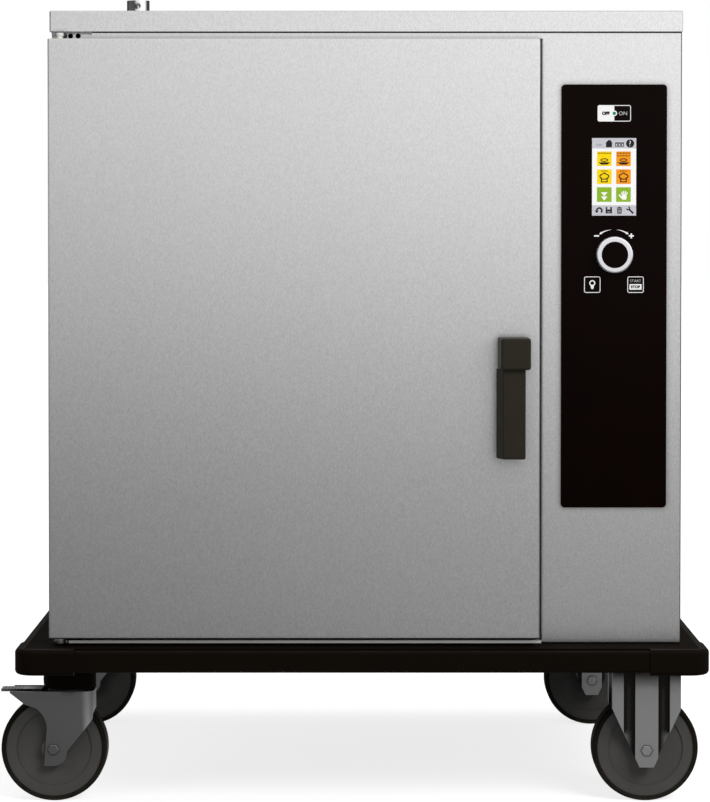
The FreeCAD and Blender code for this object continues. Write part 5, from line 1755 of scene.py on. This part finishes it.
    def bolt(self) -> BMesh:
        """Makes a hexagon bolt with a washer under its head, its seat at the origin and its head up.

        Returns:
            The bolt, in millimetres.
        """
        corner = self.across / math.sqrt(3)
        mesh = lathe([(0, -self.bolt_shank), (self.bolt_radius, -self.bolt_shank), (self.bolt_radius, 0),
                      (self.washer_radius, 0), (self.washer_radius, self.washer), (corner * 0.7, self.washer),
                      (0, self.washer)], 24)
        head = lathe([(0, self.washer), (corner, self.washer), (corner, self.bolt_head - self.chamfer),
                      (corner * 0.88, self.bolt_head), (0, self.bolt_head)], 6)
        spare = plain_mesh("bolt_head", head)
        mesh.from_mesh(spare)
        bpy.data.meshes.remove(spare)
        return mesh


# Studio


@dataclass(frozen=True)
class Lamp:
    """Soft area lamp that shine doesn't see.

    Attributes:
        name: Lamp name.
        place: Where it stands.
        target: What it points at.
        size: Its width and height.
        power: Its power in watts.
    """

    name: str
    place: Triple
    target: Triple
    size: Point
    power: float

    def build(self) -> None:
        """Makes the lamp."""
        light = bpy.data.lights.new(self.name, "AREA")
        light.shape = "RECTANGLE"
        light.size, light.size_y = self.size
        light.energy = self.power
        lamp = bpy.data.objects.new(self.name, light)
        lamp.location = self.place
        lamp.rotation_euler = (Vector(self.target) - Vector(self.place)).to_track_quat("-Z", "Y").to_euler()
        lamp.visible_glossy = False
        bpy.context.scene.collection.objects.link(lamp)


@dataclass
class Studio:
    """Floor, world, lamps and the cards that the steel reflects, in metres.

    Attributes:
        floor_size: Side of the floor.
        floor_tones: Its darkest and lightest grey.
        ambient: World light that falls on dull surfaces.
        whitening: How far the floor is lifted to white where it is seen.
        horizon: Distances between which the floor fades to white.
        card_reach: Distance of the graded card's walls from the middle of the trolley.
        card_corner: Bend of the card at its corners.
        card_foot: Distance of the card's inner edge on the floor from the middle.
        card_lift: Height of the card's foot over the floor.
        card_height: Height of the card.
        card_low: Level of the card's foot.
        card_high: Level of the card's top.
        card_rise: Heights between which it goes from one to the other.
        card_round_high: Levels round the card's upper part, each with its share of a turn, from the back
            by the left.
        card_round_low: Levels round the card's lower part.
        card_peak: What a level of 1 stands for.
        dim_rise: Heights between which the card dims behind and at the left.
        dim_back: Y values between which that starts behind.
        dim_left: X values between which that starts at the left.
        dim_level: What is left of its level there.
        rim_middle: Middle of the bright card on the floor beside the swivel castors.
        rim_size: Its width and depth.
        rim_corner: Its corner radius.
        rim_lift: Its height over the floor.
        rim_level: Its level.
        lamps: The lamps.
    """

    floor_size: float = 60.0
    floor_tones: Tuple[Rgba, Rgba] = (srgb(204, 204, 204), srgb(210, 210, 210))
    ambient: float = 0.18
    whitening: float = 0.80
    horizon: Point = (1.0, 3.0)
    card_reach: float = 1.9
    card_corner: float = 0.9
    card_foot: float = 0.04
    card_lift: float = 0.004
    card_height: float = 2.4
    card_low: float = 0.315
    card_high: float = 1.36
    card_rise: Point = (0.15, 0.95)
    card_round_high: Tuple[Point, ...] = (
        (0.0, 0.56), (0.14, 0.36), (0.25, 0.55), (0.36, 0.38), (0.437, 0.59), (0.557, 0.96), (0.70, 0.96),
        (0.75, 0.60), (0.86, 0.36), (1.0, 0.56))
    card_round_low: Tuple[Point, ...] = (
        (0.0, 0.56), (0.14, 0.36), (0.25, 0.55), (0.36, 0.34), (0.437, 0.42), (0.557, 0.92), (0.64, 0.50),
        (0.75, 0.50), (0.86, 0.36), (1.0, 0.56))
    card_peak: float = 1.25
    dim_rise: Point = (0.97, 1.05)
    dim_back: Point = (-0.6, 0.4)
    dim_left: Point = (-0.8, -1.3)
    dim_level: float = 0.08
    rim_middle: Point = (-0.12, -0.15)
    rim_size: Point = (0.26, 0.7)
    rim_corner: float = 0.04
    rim_lift: float = 0.006
    rim_level: float = 1.6
    lamps: Tuple[Lamp, ...] = (Lamp("key_lamp", (1.7, -3.0, 2.4), (0.0, 0.0, 0.5), (1.8, 1.4), 66.0),
                               Lamp("fill_lamp", (-2.6, -2.6, 1.6), (0.0, 0.0, 0.5), (1.6, 1.6), 12.0),
                               Lamp("top_lamp", (0.2, 0.6, 3.2), (0.0, 0.2, 0.0), (2.6, 2.6), 36.0))

    def build(self) -> None:
        """Makes the studio."""
        self.world()
        self.floor()
        self.card()
        self.rim_card()
        for lamp in self.lamps:
            lamp.build()

    @staticmethod
    def seen(sketch: Sketch) -> NodeSocket:
        """Picks the rays that show the background: camera, glossy and transmission rays.

        Args:
            sketch: Where the nodes go.

        Returns:
            A value that is 1 for them and else 0.
        """
        path = sketch.add("ShaderNodeLightPath").outputs
        first = sketch.maths("MAXIMUM", path["Is Camera Ray"], path["Is Glossy Ray"])
        return sketch.maths("MAXIMUM", first, path["Is Transmission Ray"])

    @staticmethod
    def show(sketch: Sketch, shader: Node) -> None:
        """Makes a shader the material's surface."""
        sketch.feed(sketch.tree.nodes["Material Output"], {"Surface": shader.outputs[0]})

    def world(self) -> None:
        """White to look at, softer as a light."""
        world = bpy.data.worlds.new("studio")
        world.use_nodes = True
        bpy.context.scene.world = world
        sketch = Sketch(world.node_tree)
        strength = sketch.span(self.seen(sketch), self.ambient, 1.0)
        sky = world.node_tree.nodes["Background"]
        sketch.feed(sky, {"Color": (1.0, 1.0, 1.0, 1.0), "Strength": strength})

    def floor(self) -> None:
        """Plain pale floor that keeps the soft shadow."""
        mesh = bmesh.new()
        bmesh.ops.create_grid(mesh, x_segments=1, y_segments=1, size=self.floor_size / 2)
        material, sketch, shader, place = new_surface("pale_floor")
        mottle = sketch.effect(SOFT_MOTTLE, {"Vector": place, "Scale": 1.5})
        sketch.feed(shader, {"Base Color": sketch.tint(mottle, *self.floor_tones), "Roughness": 0.9,
                             "Specular IOR Level": 0.0})
        away = sketch.add("ShaderNodeVectorMath", {0: place}, operation="LENGTH")
        lift = sketch.span(away.outputs["Value"], self.whitening, 1.0, *self.horizon)
        white = sketch.add("ShaderNodeEmission", {"Strength": sketch.product(self.seen(sketch), lift)})
        self.show(sketch, sketch.add("ShaderNodeAddShader", {0: shader.outputs[0], 1: white.outputs[0]}))
        new_object("floor", plain_mesh("floor", mesh), material)

    def card(self) -> None:
        """Graded card round the trolley, dark at its foot, that only shine sees, as studios use on steel."""
        mesh = bmesh.new()
        near = slab(0, 0, 2 * self.card_foot, 2 * self.card_foot, self.card_foot / 2)
        far = slab(0, 0, 2 * self.card_reach, 2 * self.card_reach, self.card_corner)
        rings = [[mesh.verts.new((x, y, z)) for x, y in outline]
                 for outline, z in ((near, self.card_lift), (far, self.card_lift), (far, self.card_height))]
        for low, high in zip(rings, rings[1:]):
            for i in range(len(low)):
                mesh.faces.new((low[i - 1], low[i], high[i], high[i - 1]))
        material, sketch, _, place = new_surface("graded_card")
        x, y, z = sketch.add("ShaderNodeSeparateXYZ", {0: place}).outputs
        rise = sketch.span(z, 0.0, 1.0, *self.card_rise, interpolation="SMOOTHSTEP")
        turn = sketch.maths("ARCTAN2", x, sketch.product(y, -1.0))
        share = sketch.span(turn, 0.0, 1.0, -math.pi, math.pi)
        ends = [self.ramp(sketch, share, stops) for stops in (self.card_round_low, self.card_round_high)]
        high, back, left = [sketch.span(value, 0.0, 1.0, *between) for value, between in
                            ((z, self.dim_rise), (y, self.dim_back), (x, self.dim_left))]
        aside = sketch.product(high, sketch.maths("MAXIMUM", back, left))
        dim = sketch.span(aside, 1.0, self.dim_level)
        graded = sketch.span(rise, self.card_low * self.card_peak, self.card_high * self.card_peak)
        level = sketch.product(graded, dim)
        glow = sketch.add("ShaderNodeEmission", {"Strength": sketch.product(level, sketch.tint(rise, *ends))})
        self.show(sketch, glow)
        self.shine_only("graded_card", mesh, material)

    @staticmethod
    def ramp(sketch: Sketch, share: NodeSocket, stops: Sequence[Point]) -> NodeSocket:
        """Grey level by a share from 0 to 1.

        Args:
            sketch: Where the node goes.
            share: The share.
            stops: Pairs of a share and a level, from 0 to 1.

        Returns:
            The level's socket.
        """
        node = sketch.add("ShaderNodeValToRGB", {0: share})
        places = node.color_ramp.elements
        for position, level in stops:
            known = [place for place in places if place.position == position]
            place = known[0] if known else places.new(position)
            place.color = (level, level, level, 1.0)
        return node.outputs["Color"]

    def rim_card(self) -> None:
        """Bright card flat on the floor, for the rounded edges of the swivel castors."""
        mesh = bmesh.new()
        outline = slab(*self.rim_middle, *self.rim_size, self.rim_corner)
        mesh.faces.new([mesh.verts.new((x, y, self.rim_lift)) for x, y in outline])
        material, sketch, _, place = new_surface("rim_card")
        mottle = sketch.effect(SOFT_MOTTLE, {"Vector": place, "Scale": 2.0})
        level = sketch.span(mottle, self.rim_level * 0.95, self.rim_level)
        self.show(sketch, sketch.add("ShaderNodeEmission", {"Strength": level}))
        self.shine_only("rim_card", mesh, material)

    @staticmethod
    def shine_only(name: str, mesh: BMesh, material: Material) -> None:
        """Sets up a card that only reflections see.

        Args:
            name: Card name.
            mesh: Its mesh, which is freed.
            material: Its material.
        """
        card = new_object(name, plain_mesh(name, mesh), material)
        card.visible_camera = False
        card.visible_diffuse = False
        card.visible_transmission = False
        card.visible_shadow = False


@dataclass
class PhotoCamera:
    """Camera at the photograph's viewing angle.

    Attributes:
        aside: How far it stands to the right of the lid's middle, in millimetres.
        distance: How far it stands before the trolley's middle, in millimetres.
        height: How high it stands, in millimetres.
        pitch: How far it looks down, in degrees.
        focal: Focal length in pixels of the photograph.
        axis_row: Pixel row on which its axis lies.
    """

    aside: float = -13.2
    distance: float = 3930.5
    height: float = 692.7
    pitch: float = 1.5
    focal: float = 3053.1
    axis_row: float = 302.9

    def build(self) -> None:
        """Makes the camera and hands it to the scene."""
        data = bpy.data.cameras.new("photo_camera")
        data.sensor_width = 36.0
        data.lens = self.focal / PHOTO_HEIGHT * data.sensor_width
        data.shift_y = (self.axis_row - PHOTO_HEIGHT / 2) / PHOTO_HEIGHT
        camera = bpy.data.objects.new("photo_camera", data)
        across = Extent.of("top_lid").middle.x + self.aside
        camera.location = Vector((across, -self.distance, self.height)) * MM
        camera.rotation_euler = (math.radians(90 - self.pitch), 0, 0)
        bpy.context.scene.collection.objects.link(camera)
        bpy.context.scene.camera = camera


def main() -> None:
    """Builds the dressed trolley and its studio in order."""
    logging.basicConfig(level=logging.INFO, format="%(name)s: %(message)s")
    bpy.context.scene.view_settings.view_transform = "Standard"
    Bodywork.from_record().dress()
    for assembly in (BackCover, DoorSeal, DarkStrips, SillTrim, ControlFace, Screen, PedalTreads, Fixings, Studio,
                     PhotoCamera):
        assembly().build()
        LOG.info("%s is built", assembly.__name__)


if __name__ == "__main__":
    main()
